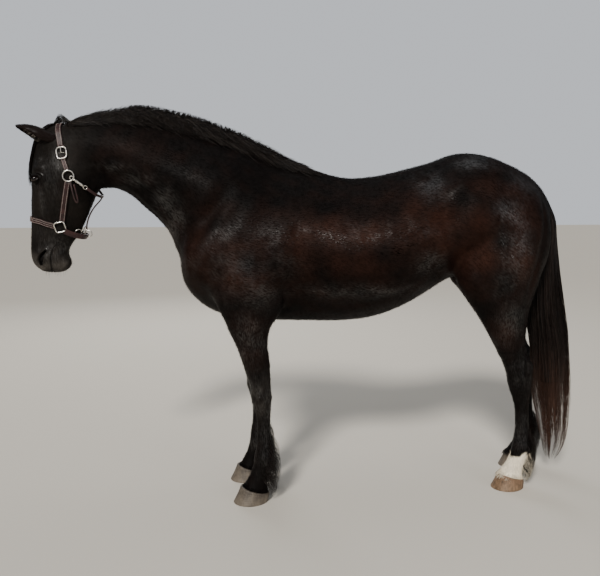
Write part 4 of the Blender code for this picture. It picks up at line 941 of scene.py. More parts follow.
def grid_map(order_by, columns):
    """A cell of its own on the map for each lock, in rows ordered by where its root is."""
    count = len(order_by)
    rows = -(-count // columns)
    rank = np.empty(count, dtype=int)
    rank[np.argsort(order_by, kind="stable")] = np.arange(count)
    place = np.stack((rank // rows / columns, rank % rows / rows), axis=1)
    return place * 0.994 + 0.002, 0.9 * 0.994 / max(columns, rows)


def along_rows(table, share):
    """Values of a table's columns at shares of its length, 0 to 1."""
    place = np.clip(share, 0.0, 1.0) * (len(table) - 1)
    low = np.minimum(place.astype(int), len(table) - 2)
    part = (place - low)[..., None]
    return table[low] * (1 - part) + table[low + 1] * part


def bezier_rows(points, rows):
    """Smooth paths of that many rows through controls of shape (count, controls, 3)."""
    count, controls = points.shape[:2]
    out = np.empty((count, rows, 3))
    for row in range(rows):
        place = row / (rows - 1) * (controls - 1)
        low = min(int(place), controls - 2)
        part = place - low
        before = points[:, max(0, low - 1)]
        after = points[:, min(controls - 1, low + 2)]
        out[:, row] = between(part, before, points[:, low], points[:, low + 1], after)
    return out


def taper(rows, start=0.7, end=0.35):
    """How wide a lock is along its length, as a share."""
    place = np.linspace(0.0, 1.0, rows)
    return np.interp(place, (0.0, 0.25, 0.75, 1.0), (start, 1.0, end + 0.3, end))


def away_from(paths, centre):
    """Directions from a centre line outwards, for the flat side of locks."""
    return unit(paths - centre)


def mane_hair(surface, count):
    """The mane: it rises from the crest, falls over to the right side and leans back along the neck."""
    table = smooth_rows(MANE, 8)
    share = vary(0.0, 1.0, count) ** 0.96
    x, z, height, hang = along_rows(table, share).T
    side = vary(-1.0, 1.0, count)
    root = np.stack((x, side * 0.021, z - 0.01 - 0.016 * side ** 2), axis=1)
    root = surface.over(root, np.full(count, -0.002))
    near = side < -0.15
    stand = height * vary(0.4, 1.0, count) * np.where(near, 0.85, 1.0)
    lean = vary(0.015, 0.06, count) + 0.03 * np.clip(-x, 0.0, 0.5)
    drop = hang * vary(0.62, 1.0, count)
    layer = vary(0.004, 0.019, count)
    slope = np.interp(x, (-0.8, -0.55, -0.2, 0.24), (0.06, -0.04, -0.34, -0.45))
    controls = [root]
    for part, out_y in ((0.42, -0.012), (0.85, 0.006), (1.0, 0.022)):
        point = np.stack((x + lean * part, np.where(near, -0.02 * (1 - part) ** 0.6, 0.0) + out_y
            + stray(0.0, 0.003, count), z + stand * part + slope * lean * part), axis=1)
        controls.append(point)
    for part in (0.18, 0.45, 0.72, 1.0):
        level = np.stack((x + lean * (1.0 + 0.7 * part) + drop * part * 0.1, np.full(count, 0.16), z + slope
            * lean * 1.3 - drop * part), axis=1)
        hit = level.copy()
        for i in range(count):
            found = surface.tree.ray_cast((level[i, 0], 0.6, level[i, 2]), (0.0, -1.0, 0.0))[0]
            hit[i, 1] = max((found.y if found else 0.05) + layer[i] * (1 - 0.5 * part), 0.034)
        wave = 0.007 * np.sin(x * 55 + part * 5.0 + side * 2)
        hit[:, 0] += wave + stray(0.0, 0.003, count)
        controls.append(hit)
    paths = bezier_rows(np.stack(controls, axis=1), 11)
    centre = np.stack((x, np.zeros(count), z - 0.05), axis=1)[:, None, :]
    facing = unit((paths - centre) * (0.2, 1.0, 1.0))
    facing[:, -4:] = unit(facing[:, -4:] * (0.1, 1.0, 0.1))
    width = vary(0.0022, 0.0048, count)[:, None] * taper(11, 0.6, 0.3)
    thickness = width * 0.45
    roots, patch = grid_map(share, 66)
    tone = hair_tone(paths, count, 0.35)
    return locks("mane_fall", paths, facing, width, thickness, roots, tone, patch=patch)


def hair_tone(paths, count, grey):
    """Black hair with a touch of brown and grey from lock to lock."""
    mix = vary(0.0, 1.0, count)[:, None]
    tone = BLACK * (1 - mix * 0.5) + (BROWN * 0.6) * mix * 0.5
    tone = tone * (1 - grey * mix ** 3) + 1.7 * GREYED * grey * mix ** 3
    return np.repeat(tone[:, None, :], paths.shape[1], axis=1)


def mane_fringe(surface, count):
    """Short loose hair that stands on the crest and breaks its outline."""
    table = smooth_rows(MANE, 8)
    share = vary(0.02, 1.0, count)
    x, z, height, _ = along_rows(table, share).T
    side = vary(-1.0, 0.8, count)
    root = np.stack((x, side * 0.02, z - 0.008 - 0.014 * side ** 2), axis=1)
    root = surface.over(root, np.full(count, -0.002))
    slope = np.interp(x, (-0.8, -0.55, -0.2, 0.24), (0.06, -0.04, -0.34, -0.45))
    reach = vary(0.035, 0.085, count)
    rise = height * vary(0.55, 1.12, count)
    controls = [root]
    for part, lift in ((0.4, 0.65), (0.75, 0.95), (1.0, 0.92)):
        controls.append(np.stack((x + reach * part, side * 0.02 * (1 - part) + 0.012 * part
            + stray(0.0, 0.004, count), z + rise * lift + slope * reach * part + stray(0.0, 0.0055, count)
            * part), axis=1))
    paths = bezier_rows(np.stack(controls, axis=1), 6)
    facing = unit(paths - np.stack((x, np.zeros(count), z - 0.04), axis=1)[:, None, :])
    width = vary(0.0009, 0.0022, count)[:, None] * taper(6, 0.8, 0.3)
    roots, patch = grid_map(share, 50)
    return locks("mane_top", paths, facing, width, width * 0.5, roots, hair_tone(paths, count, 0.8),
        patch=patch)


def near_side_mane(surface, count):
    """Hair on the left of the crest, that lies back and down along the neck."""
    table = smooth_rows(MANE, 8)
    share = vary(0.0, 1.0, count)
    x, z, height, _ = along_rows(table, share).T
    up = vary(0.0, 1.0, count) ** 0.8
    root = np.stack((x, -0.024 + 0.02 * up, z - 0.024 * (1 - up)), axis=1)
    root = surface.over(root, np.full(count, -0.002))
    slope = np.interp(x, (-0.8, -0.55, -0.2, 0.24), (0.02, -0.12, -0.42, -0.5))
    reach = vary(0.02, 0.12, count)
    stand = height * vary(0.15, 0.95, count) * up
    fall = ((reach * vary(-0.05, 0.55, count) + 0.02 * up * vary(0.0, 1.0, count))
        * (0.4 + 0.6 * (height > 0.02)))
    controls = [root]
    for part in (0.35, 0.7, 1.0):
        point = np.stack((root[:, 0] + reach * part, root[:, 1] - 0.01 - 0.012 * up * part, root[:, 2] + slope
            * reach * part - fall * part ** 1.6), axis=1)
        point = surface.over(point, vary(0.001, 0.007, count) * (1.15 - part))
        point[:, 2] += stand * (1.0, 1.0, 0.75)[(0.35, 0.7, 1.0).index(part)]
        controls.append(point)
    paths = bezier_rows(np.stack(controls, axis=1), 6)
    facing = np.tile(np.array((0.0, -1.0, 0.25)), (count, 6, 1))
    width = vary(0.0012, 0.003, count)[:, None] * taper(6, 0.8, 0.2)
    roots, patch = grid_map(share, 50)
    return locks("mane_near", paths, facing, width, width * 0.4, roots, hair_tone(paths, count, 0.75),
        patch=patch)


def tail_hair(count):
    """The tail: locks from the dock down, bleached brown in their lower third."""
    table = smooth_rows(TAIL, 6)
    inner = np.stack((table[:, 0], np.zeros(len(table)), table[:, 1]), axis=1)
    outer = np.stack((table[:, 2], np.zeros(len(table)), table[:, 3]), axis=1)
    stations = np.concatenate((inner, outer, table[:, 4:7]), axis=1)
    rows = 15
    start = vary(0.0, 1.0, count) ** 1.5 * 0.24
    wisps = 110
    wisp = CHANCE.integers(0, wisps, count)
    wisp_turn = vary(0.0, 2 * pi, wisps)
    wisp_deep = vary(0.0, 1.0, wisps) ** 0.42
    wisp_end = vary(0.66, 1.0, wisps)
    end = wisp_end[wisp] - np.abs(stray(0.0, 0.075, count))
    turn = wisp_turn[wisp] + stray(0.0, 0.3, count)
    deep = np.clip(wisp_deep[wisp] + stray(0.0, 0.14, count), 0.0, 1.0)
    ahead, aside = np.cos(turn) * deep, np.sin(turn) * deep
    goal_ahead, goal_aside = np.cos(wisp_turn) * wisp_deep, np.sin(wisp_turn) * wisp_deep
    place = np.linspace(0.0, 1.0, rows)
    along = start[:, None] + (end - start)[:, None] * place
    here = along_rows(stations, along)
    half = np.interp(ahead, (-1.0, 0.0, 1.0), (0.0, 0.5, 1.0))[:, None]
    middle = (here[:, :, 0:3] + here[:, :, 3:6]) / 2
    sway = (here[:, :, 3:6] - here[:, :, 0:3]) / 2
    width = (here[:, :, 6] * (1 - half) ** 2 + here[:, :, 7] * 2 * half * (1 - half) + here[:, :, 8]
        * half ** 2)
    width = np.maximum(width, here[:, :, 7] * 0.75)
    wave = np.sin(along * 21.0 + wisp_turn[wisp][:, None] * 3.0) * 0.055
    wave2 = np.sin(along * 37.0 + wisp_turn[wisp][:, None] * 5.0) * 0.03
    gather = (ease(along, 0.3, 1.0) * 0.85)
    ahead_now = (ahead[:, None] * (1 - gather) + goal_ahead[wisp][:, None] * gather + (wave + wave2)
        * place[None, :])
    aside_now = (aside[:, None] * (1 - gather) + goal_aside[wisp][:, None] * gather + wave2 * place[None, :]
        * 2.0)
    ahead_now, aside_now = np.clip(ahead_now, -1.0, 1.0), np.clip(aside_now, -1.0, 1.0)
    paths = middle + sway * ahead_now[:, :, None]
    paths[:, :, 1] += width * aside_now
    root = middle[:, 0] + sway[:, 0] * ahead[:, None] * 0.45
    root[:, 1] += width[:, 0] * aside * 0.45
    paths[:, 0] = root
    facing = away_from(paths, middle - np.array((0.0, 0.0, 0.001)))
    breadth = vary(0.0018, 0.0042, count)[:, None] * taper(rows, 0.6, 0.12)
    roots, patch = grid_map(turn + 0.001 * start, 62)
    tone = hair_tone(paths, count, 0.25)
    low = ease(-paths[:, :, 2], -0.74, -0.26) * vary(0.15, 1.0, count)[:, None]
    bleached = np.array((0.105, 0.052, 0.036))
    tone = tone * (1 - low[:, :, None]) + bleached * low[:, :, None]
    return locks("tail_hair", paths, facing, breadth, breadth * 0.5, roots, tone, patch=patch)


def core_of(name, table, shrink, first, last, points=16):
    """A closed dark core inside long hair."""
    rows = smooth_rows(table, 3)[first:last]
    rings = []
    for inner_x, inner_z, outer_x, outer_z, *widths in rows:
        low, high = np.array((inner_x, inner_z)), np.array((outer_x, outer_z))
        middle, half = (low + high) / 2, (high - low) / 2 * shrink
        rings.append(oval(middle - half, middle + half, [w * shrink for w in widths], points=points))
    return loft_piece(name, rings)


def loft_piece(name, rings, closed=False, tone=None):
    """A closed piece through rings of points; closed joins the last ring to the first."""
    rings = [np.asarray(ring, dtype=float) for ring in rings]
    count, size = len(rings), len(rings[0])
    points = np.concatenate(rings)
    quads = []
    here = np.arange(size)
    there = (here + 1) % size
    for row in range(count if closed else count - 1):
        a, b = row * size, (row + 1) % count * size
        quads.append(np.stack((a + here, a + there, b + there, b + here), axis=1))
    faces = [np.concatenate(quads)]
    if not closed:
        faces.append(np.stack((here[::-1], here + (count - 1) * size)))
    made = piece_of(name, placed(points), faces, tone=tone)
    outward(made)
    return made


def outward(obj):
    data = bmesh.new()
    data.from_mesh(obj.data)
    bmesh.ops.recalc_face_normals(data, faces=data.faces)
    data.to_mesh(obj.data)
    data.free()


def forelock_hair(surface, count):
    table = smooth_rows(FORELOCK, 6)
    inner = np.stack((table[:, 0], np.zeros(len(table)), table[:, 1]), axis=1)
    outer = np.stack((table[:, 2], np.zeros(len(table)), table[:, 3]), axis=1)
    stations = np.concatenate((inner, outer, table[:, 4:7]), axis=1)
    rows = 9
    start = vary(0.0, 0.22, count)
    end = vary(0.6, 1.0, count)
    aside = vary(-1.0, 1.0, count)
    ahead = vary(0.1, 0.9, count)
    place = np.linspace(0.0, 1.0, rows)
    along = start[:, None] + (end - start)[:, None] * place
    here = along_rows(stations, along)
    middle = (here[:, :, 0:3] + here[:, :, 3:6]) / 2
    sway = (here[:, :, 3:6] - here[:, :, 0:3]) / 2
    paths = middle + sway * ((ahead[:, None] * 1.4 - 0.8) * (1 - 0.4 * place))[:, :, None] * 0.6
    paths[:, :, 1] += here[:, :, 7] * aside[:, None] * (1 - 0.25 * place[None, :])
    paths[:, :, 1] += 0.004 * np.sin(place * 8 + aside[:, None] * 9)
    flat = paths.reshape(-1, 3)
    depth = np.repeat(vary(0.002, 0.012, count), rows)
    paths = surface.clear_of(flat, depth).reshape(count, rows, 3)
    root = paths[:, 0].copy()
    paths[:, 0] = surface.over(root, np.full(count, -0.002))
    facing = np.tile(np.array((-1.0, 0.0, 0.4)), (count, rows, 1))
    facing[:, :, 1] = aside[:, None] * 0.8
    width = vary(0.0018, 0.0036, count)[:, None] * taper(rows, 0.7, 0.25)
    roots, patch = grid_map(aside, 24)
    return locks("forelock_hair", paths, facing, width, width * 0.5, roots, hair_tone(paths, count, 0.2),
        patch=patch)


def feather_hair(surface, name, fore, side, count):
    """Long hair from the back of the cannon and the fetlock, down over the heel."""
    table = np.array(FORE_FEATHER if fore else HIND_FEATHER)
    step = foot_step(fore, side)
    rows = 8
    top, low = (0.335, 0.105) if fore else (0.305, 0.1)
    height = low + (top - low) * vary(0.0, 1.0, count) ** 1.15
    inner, outer, half = (np.interp(height, table[::-1, 0], table[::-1, k]) for k in (1, 2, 3))
    wisp = CHANCE.integers(0, 34, count)
    wisp_turn = vary(-1.0, 1.0, 34)
    wisp_reach = vary(0.7, 1.15, 34)
    turn = np.clip(wisp_turn[wisp] + stray(0.0, 0.16, count), -1.0, 1.0)
    leg = (0.05, 0.044) if fore else (1.33, 0.044)
    centre_x = (0.062 if fore else 1.345) - 0.1 * (0.2 - height) * (height < 0.2)
    angle = turn * radians(78)
    root = np.stack((centre_x + step + 0.06 * np.cos(angle), side * FOOT_SPREAD + 0.06 * np.sin(angle),
        height), axis=1)
    root = surface.over(root, np.full(count, -0.002))
    length = vary(0.085, 0.16, count) * np.interp(height, (0.1, 0.2, 0.33), (0.7, 1.0, 0.75))
    length *= wisp_reach[wisp]
    paths = np.empty((count, rows, 3))
    swing = stray(0.0, 0.005, (count, 2))
    for row in range(rows):
        part = row / (rows - 1)
        z = height - length * part ** 1.1
        z = np.maximum(z, 0.014 + 0.018 * np.abs(turn) * part)
        back = np.interp(z, table[::-1, 0], table[::-1, 2]) + step
        spread = np.interp(z, table[::-1, 0], table[::-1, 3])
        bend = angle * (1 - 0.7 * part) + wisp_turn[wisp] * radians(78) * 0.7 * part
        far_x = centre_x + step + (back - centre_x - step) * np.cos(bend * 0.85) * 0.97
        far_y = side * FOOT_SPREAD + spread * np.sin(bend) * 1.12
        out = ease(np.full(count, part), 0.0, 0.55) * vary(0.9, 1.0, count)
        paths[:, row, 0] = root[:, 0] * (1 - out) + far_x * out + swing[:, 0] * part
        paths[:, row, 1] = root[:, 1] * (1 - out) + far_y * out + swing[:, 1] * part
        paths[:, row, 2] = z
    paths[:, 0] = root
    flat = paths[:, 1:].reshape(-1, 3)
    gap = np.repeat(vary(0.0015, 0.006, count), rows - 1)
    paths[:, 1:] = surface.clear_of(flat, gap).reshape(count, rows - 1, 3)
    centre = np.array((leg[0] + step, side * FOOT_SPREAD, 0.0)) * (1, 1, 0)
    facing = unit((paths - centre) * (1.0, 1.0, 0.0))
    width = vary(0.0013, 0.0028, count)[:, None] * taper(rows, 0.7, 0.12)
    roots, patch = grid_map(turn, 30)
    tone = hair_tone(paths, count, 0.3)
    if not fore and side < 0:
        white = ((height < 0.175) & (vary(size=count) < 0.55))[:, None, None]
        tone = np.where(white, WHITE * 0.85, tone)
    else:
        tip = ease(-paths[:, :, 2], -0.16, -0.04)[:, :, None] * 0.35
        tone = tone * (1 - tip) + GREYED * tip
    return locks(name, paths, facing, width, width * 0.5, roots, tone, patch=patch)


def coronet_fringe(surface, name, fore, side, count):
    """Short hair that hangs over the top of the hoof."""
    front_x, front_z, back_x, back_z = FORE_CORONET if fore else HIND_CORONET
    step = foot_step(fore, side)
    angle = vary(0.0, 2 * pi, count)
    ahead = np.cos(angle)
    rise = vary(0.002, 0.022, count)
    middle_x, half_x = (front_x + back_x) / 2 + step, (back_x - front_x) / 2
    root = np.stack((middle_x + ahead * half_x * 1.02, side * FOOT_SPREAD + np.sin(angle) * 0.05, front_z
        + (back_z - front_z) * (ahead + 1) / 2 + rise), axis=1)
    outward_way = unit(np.stack((ahead, np.sin(angle), np.zeros(count)), axis=1))
    root = surface.over(root, np.full(count, -0.0015))
    length = vary(0.014, 0.03, count)
    down = np.array((-0.45, 0.0, -0.89))
    paths = np.stack([root + (down * length[:, None] + outward_way * 0.01 * part ** 0.7 + outward_way * 0.004)
        * part for part in np.linspace(0.0, 1.0, 5)], axis=1)
    paths[:, 0] = root
    facing = np.repeat(outward_way[:, None, :], 5, axis=1)
    width = vary(0.0014, 0.0026, count)[:, None] * taper(5, 0.8, 0.3)
    roots, patch = grid_map(angle, 24)
    tone = coat_tone(root) * stray(1.0, 0.12, count).clip(0.6, 1.5)[:, None]
    return locks(name, paths, facing, width, width * 0.45, roots, tone, patch=patch)


def poll_tuft(surface, count):
    """The pointed tuft that stands behind the crownpiece."""
    ahead = vary(size=count) < 0.42
    root = np.stack((np.where(ahead, vary(-0.868, -0.848, count), vary(-0.812, -0.782, count)),
        vary(-0.026, 0.026, count), np.full(count, 1.76)), axis=1)
    root = surface.over(root, np.full(count, -0.002))
    low = vary(0.0, 0.044, count)
    across = np.where(ahead, 0.5, -0.5) * low * vary(0.0, 1.0, count)
    goal = np.stack((-0.832 + across, root[:, 1] * low / 0.044, 1.797 - low), axis=1)
    reach = vary(0.85, 1.0, count)[:, None]
    loose = stray(0.0, 0.0035, (count, 3)) * (1, 1.3, 0.3)
    paths = np.stack([root + (goal + loose - root) * reach * part + np.array((0.0, 0.0, 0.006))
        * sin(pi * part) for part in np.linspace(0.0, 1.0, 6)], axis=1)
    facing = unit(paths - np.array((-0.832, 0.0, 1.7)))
    width = vary(0.0016, 0.0032, count)[:, None] * taper(6, 0.8, 0.3)
    roots, patch = grid_map(root[:, 1], 16)
    return locks("poll_tuft", paths, facing, width, width * 0.5, roots, hair_tone(paths, count, 0.7),
        patch=patch)


# Ears, eyes and hooves.

EAR_STATIONS = [(-0.34, 0.006, 177), (-0.27, 0.0155, 175), (-0.16, 0.0225, 172), (-0.05, 0.026, 168),
    (0.05, 0.029, 160), (0.2, 0.034, 140), (0.35, 0.036, 122), (0.5, 0.0345, 108), (0.65, 0.03, 99),
    (0.78, 0.0235, 93), (0.88, 0.0165, 88), (0.95, 0.01, 84), (1.0, 0.003, 80)]


EAR_TABLE = smooth_rows(EAR_STATIONS, 5)


def ear_frame(side):
    root, tip = EAR_ROOT * (1, -side, 1), EAR_TIP * (1, -side, 1)
    axis = unit(tip - root)
    up = np.array((0.1, -side * 0.42, 1.0))
    up = unit(up - axis * (up @ axis))
    return root, axis, up, np.cross(axis, up), np.linalg.norm(tip - root)


def ear_point(side, along, turn, inset=0.0):
    """A place on the ear's wall: along it from root to tip, and round it from edge to edge, -1 to 1."""
    root, axis, up, out, length = ear_frame(side)
    half, opening = (np.interp(along, EAR_TABLE[:, 0], EAR_TABLE[:, k]) for k in (1, 2))
    angle = radians(opening) * turn
    bow = 0.004 * sin(pi * min(1.0, max(0.0, along)))
    centre = root + axis * length * along - up * (half * 0.4 - bow)
    curl = 1.0 - 0.07 * abs(turn) ** 6
    return centre + (up * cos(angle) + out * sin(angle)) * (half - inset) * curl


def make_ear(name, side):
    rows = smooth_rows(EAR_STATIONS, 4)[:, 0]
    turns = np.linspace(-1.0, 1.0, 25)
    rings = []
    for along in rows:
        wall = np.interp(along, (-0.16, 0.2, 0.8, 1.0), (0.0045, 0.0035, 0.0028, 0.0012))
        outer = [ear_point(side, along, turn) for turn in turns]
        inner = [ear_point(side, along, turn, wall) for turn in turns[::-1]]
        rings.append(outer + inner)
    return loft_piece(name, rings)


def ear_hair(name, side, count):
    """Pale hair inside the ear and a short dark fringe along its edges."""
    root, axis, up, out, length = ear_frame(side)
    starts, paths, tone, facing = [], [], [], []
    for kind in CHANCE.choice(3, count, p=(0.32, 0.16, 0.52)):
        inside, edge = kind == 0, kind == 1
        along = vary(0.05, 0.62) if inside else vary(-0.3, 0.96)
        turn = CHANCE.choice((-1.0, 1.0)) * vary(0.93, 1.0) if edge else vary(-0.98, 0.98)
        start = ear_point(side, along, turn, (0.0036, 0.0018, 0.0006)[kind])
        inward = unit(ear_point(side, along, 0.0, 0.02) - start)
        away = unit(start - ear_point(side, along, turn, 0.01))
        if inside:
            reach, bend = vary(0.014, 0.03), -up * 0.0045
            way = inward * 0.55 - up * 0.55
        elif edge:
            reach, bend = vary(0.005, 0.011), -up * 0.0008
            way = inward * 0.4 - up * 0.25
        else:
            reach, bend = vary(0.007, 0.012), -away * 0.0012
            way = away * 0.16
        way = unit(way + axis * vary(0.4, 0.9) + stray(0.0, 0.1 if kind < 2 else 0.03, 3))
        paths.append([start + way * reach * part + bend * part * part for part in np.linspace(0.0, 1.0, 5)])
        facing.append([away if kind == 2 else out * CHANCE.choice((-1, 1)) * 0.4 - up] * 5)
        pale = inside and vary() < 0.75
        shade = GREYED * 8.0 * vary(0.5, 1.3) if pale else BLACK * 1.5 + BROWN * vary(0.05, 0.35)
        tone.append(shade)
        starts.append(along + turn * 0.01)
    paths, facing, tone = np.array(paths), np.array(facing), np.array(tone)
    width = vary(0.0009, 0.0018, count)[:, None] * taper(5, 0.8, 0.3)
    roots, patch = grid_map(np.array(starts), 20)
    return locks(name, paths, facing, width, width * 0.5, roots, tone, patch=patch)


def make_eye(name, side):
    """An eyeball with a clear bulge in front, its poles along the way it looks."""
    along, up, out = eye_axes(side)
    centre = EYE_CENTRE * (1, -side, 1)
    rings = []
    for row in range(1, 24):
        angle = pi * row / 24
        front = cos(angle)
        radius = EYE_RADIUS - 0.0002
        bulge = 0.0007 * ease(np.array(front), 0.72, 0.9)
        reach = (radius + bulge)
        rings.append([centre + out * front * reach + (along * cos(turn) + up * sin(turn)) * sin(angle) * reach
            for turn in 2 * pi * np.arange(40) / 40])
    made = loft_piece(name, rings)
    points = places_of(made.data)
    look = placed((centre + out)[None])[0] - placed(centre[None])[0]
    wide = placed((centre + along)[None])[0] - placed(centre[None])[0]
    high = placed((centre + up)[None])[0] - placed(centre[None])[0]
    away = (points - placed(centre[None])[0]) / EYE_RADIUS
    values = np.stack((away @ wide * 0.5 + 0.5, away @ high * 0.5 + 0.5, away @ look * 0.5 + 0.5), axis=1)
    paint(made.data, values)
    return made


def lashes(name, side, surface):
    """Lashes on the upper lid and a few long feelers under the eye and on the muzzle."""
    along, up, out = eye_axes(side)
    centre = EYE_CENTRE * (1, -side, 1)
    paths, width = [], []
    for share in np.linspace(-0.85, 0.85, 46):
        height = EYE_ABOVE * (1 - abs(share) ** 1.7) ** (1 / 1.7) * 1.06
        start = centre + along * share * EYE_HALF_LENGTH + up * height
        start = start + out * (sin(math_arc(share, height)) * (EYE_RADIUS + 0.0012))
        reach = vary(0.007, 0.012) * (1 - 0.35 * abs(share))
        way = unit(out + along * share * 0.5 - up * 0.3 + stray(0.0, 0.08, 3))
        paths.append([start + way * reach * t - up * reach * 0.3 * t * t for t in np.linspace(-0.15, 1.0, 5)])
        width.append(0.00075)
    for _ in range(16):
        share = vary(-0.9, 0.9)
        start = centre + along * share * 0.026 - up * vary(0.016, 0.026)
        start = surface.over(start[None], np.array((-0.001,)))[0]
        way = unit(out * 0.7 - up * 0.8 + stray(0.0, 0.2, 3))
        reach = vary(0.01, 0.022)
        paths.append([start + way * reach * t - np.array((0, 0, 0.25)) * reach * t * t
            for t in np.linspace(0, 1, 5)])
        width.append(0.00065)
    for _ in range(70):
        start = np.array((vary(-0.925, -0.825), side * 0.07, vary(1.075, 1.15)))
        place, normal = surface.tree.ray_cast((start[0], side * 0.3, start[2]), (0.0, -side, 0.0))[:2]
        if place is None:
            continue
        start = np.array(place) - np.array(normal) * 0.001
        way = unit(np.array(normal) + (0.0, 0.0, -0.6) + stray(0.0, 0.25, 3))
        reach = vary(0.008, 0.024)
        paths.append([start + way * reach * t - np.array((0, 0, 0.3)) * reach * t * t
            for t in np.linspace(0, 1, 5)])
        width.append(0.0006)
    paths = np.array(paths)
    width = np.array(width)[:, None] * taper(5, 0.9, 0.4)
    facing = np.tile(out, (len(paths), 5, 1))
    tone = np.tile(BLACK * 1.5, (len(paths), 1))
    roots, patch = grid_map(np.arange(len(paths)), 12)
    return locks(name, paths, facing, width, width, roots, tone, patch=patch)


def math_arc(share, height):
    """How far round the eyeball a place on the lid's edge is."""
    flat = min(0.98, np.hypot(share * EYE_HALF_LENGTH, height) / EYE_RADIUS)
    return float(np.arccos(flat))


def make_hoof(name, fore, side):
    """A hoof with a flared toe, bulbs at the heel, a bevelled edge and a flat sole."""
    step = foot_step(fore, side)
    toe = (FORE_TOE_X if fore else HIND_TOE_X) + step
    front_x, front_z, back_x, back_z = FORE_CORONET if fore else HIND_CORONET
    middle = np.array((toe + SOLE_LENGTH / 2, side * FOOT_SPREAD, 0.0))
    top = np.array(((front_x + back_x) / 2 + step, side * FOOT_SPREAD, (front_z + back_z) / 2))
    slope = np.array((back_x - front_x, 0.0, back_z - front_z)) / 2
    angle = 2 * pi * np.arange(56) / 56
    ahead = np.cos(angle)
    notch = np.exp(-((angle - 0.0) / 0.16) ** 2) + np.exp(-((angle - 2 * pi) / 0.16) ** 2)
    narrow = 1.0 - 0.1 * np.maximum(0.0, ahead)
    aside = np.sin(angle) * narrow
    sole = (middle + np.outer(ahead * (1 - 0.07 * notch), (SOLE_LENGTH / 2, 0, 0))
        + np.outer(aside, (0, SOLE_WIDTH / 2, 0)))
    coronet = top + np.outer(ahead * (1 - 0.05 * notch), slope) + np.outer(aside, (0, 0.052, 0))
    rings = []
    levels = [(0.0, 0.9), (0.0, 0.975), (0.02, 0.995), (0.06, 1.0)]
    levels += [(share, 1.0) for share in np.linspace(0.12, 0.8, 14)]
    levels += [(0.88, 1.012), (0.94, 1.02), (0.985, 1.005), (1.0, 0.96), (1.0, 0.86)]
    for level, size in levels:
        place = sole * (1 - level) + coronet * level
        axis = middle * (1 - level) + top * level
        rings_out = 1.0 + 0.0045 * sin(level * 52.0) * (0.1 < level < 0.85)
        bulb = 1.0 + 0.045 * np.exp(-((level - 0.62) / 0.25) ** 2) * np.maximum(0.0, ahead) ** 2
        dish = 1.0 - 0.02 * sin(pi * min(1.0, level)) * np.maximum(0.0, -ahead)
        ring = axis + (place - axis) * (size * rings_out * bulb * dish)[:, None]
        if level < 0.5:
            ring[:, 2] = np.maximum(ring[:, 2], 0.0)
        rings.append(ring)
    made = loft_piece(name, rings)
    points = places_of(made.data)
    share = np.tile(np.array([level for level, _ in levels])[:, None], (1, 56)).reshape(-1)
    front = np.tile(ahead, len(levels))
    paint(made.data, np.stack((share, front * 0.5 + 0.5, points[:, 2] * 0 + (side < 0)), axis=1))
    return made


# The halter.

def strap_path(path, surface, tight, steps=5, lift=STRAP_LIFT):
    """A smooth line of places on or over the skin, with normals."""
    line = smooth_rows(path, steps)
    places, normals = [], []
    for point in line:
        place, normal = (np.array(v) for v in surface.tree.find_nearest(point)[:2])
        height = (point - place) @ normal
        if tight or height < lift:
            places.append(place + normal * lift)
            normals.append(normal)
        else:
            places.append(point)
            normals.append(unit(point - place))
    places, normals = np.array(places), np.array(normals)
    for _ in range(10):
        normals[1:-1] = unit(normals[:-2] + normals[1:-1] * 2 + normals[2:])
    for _ in range(3):
        places[1:-1] = (places[:-2] + places[1:-1] * 2 + places[2:]) / 4
    return places, normals


def rise_over(places, normals, aside, width, surface, gap):
    """How far each row of a strap must rise so that its whole width is clear of the skin."""
    rise = np.zeros(len(places))
    for share in (-0.5, -0.25, 0.0, 0.25, 0.5):
        for i, point in enumerate(places + aside * width * share):
            place, normal = surface.tree.find_nearest(point)[:2]
            depth = gap - (Vector(point) - place).dot(normal)
            rise[i] = max(rise[i], depth)
    for _ in range(3):
        rise[1:-1] = np.maximum(rise[1:-1], (rise[:-2] + rise[1:-1] * 2 + rise[2:]) / 4)
    return rise


STRAP_OUTLINE = [(-0.5, 0.18), (-0.485, 0.06), (-0.44, 0.0), (-0.2, 0.0), (0.2, 0.0), (0.44, 0.0),
    (0.485, 0.06), (0.5, 0.18), (0.5, 0.7), (0.48, 0.92), (0.43, 1.02), (0.35, 0.98), (0.15, 1.04),
    (-0.15, 1.04), (-0.35, 0.98), (-0.43, 1.02), (-0.48, 0.92), (-0.5, 0.7)]


def strap(name, path, surface, width=STRAP_WIDTH, thickness=STRAP_THICKNESS, tight=True, steps=5,
    seams=(-0.33, 0.33), lift=STRAP_LIFT, round_ends=0.0):
    """A leather strap with rounded edges, and its lines of stitches as a piece of their own."""
    places, normals = strap_path(path, surface, tight, steps, lift)
    along = unit(np.gradient(places, axis=0))
    aside = unit(np.cross(along, normals))
    normals = np.cross(aside, along)
    places = places + normals * rise_over(places, normals, aside, width, surface, lift)[:, None]
    rings = []
    for i in range(len(places)):
        narrow = 1.0
        if round_ends:
            end = min(i, len(places) - 1 - i)
            narrow = (0.55, 0.85, 0.97)[end] if end < 3 else 1.0
        rings.append([places[i] + aside[i] * width * x * narrow + normals[i] * thickness * y for x,
            y in STRAP_OUTLINE])
    made = [loft_piece(name, rings)]
    if seams:
        made.append(stitches(f"{name}.stitches", places, along, aside, normals, width, thickness, seams))
    return made


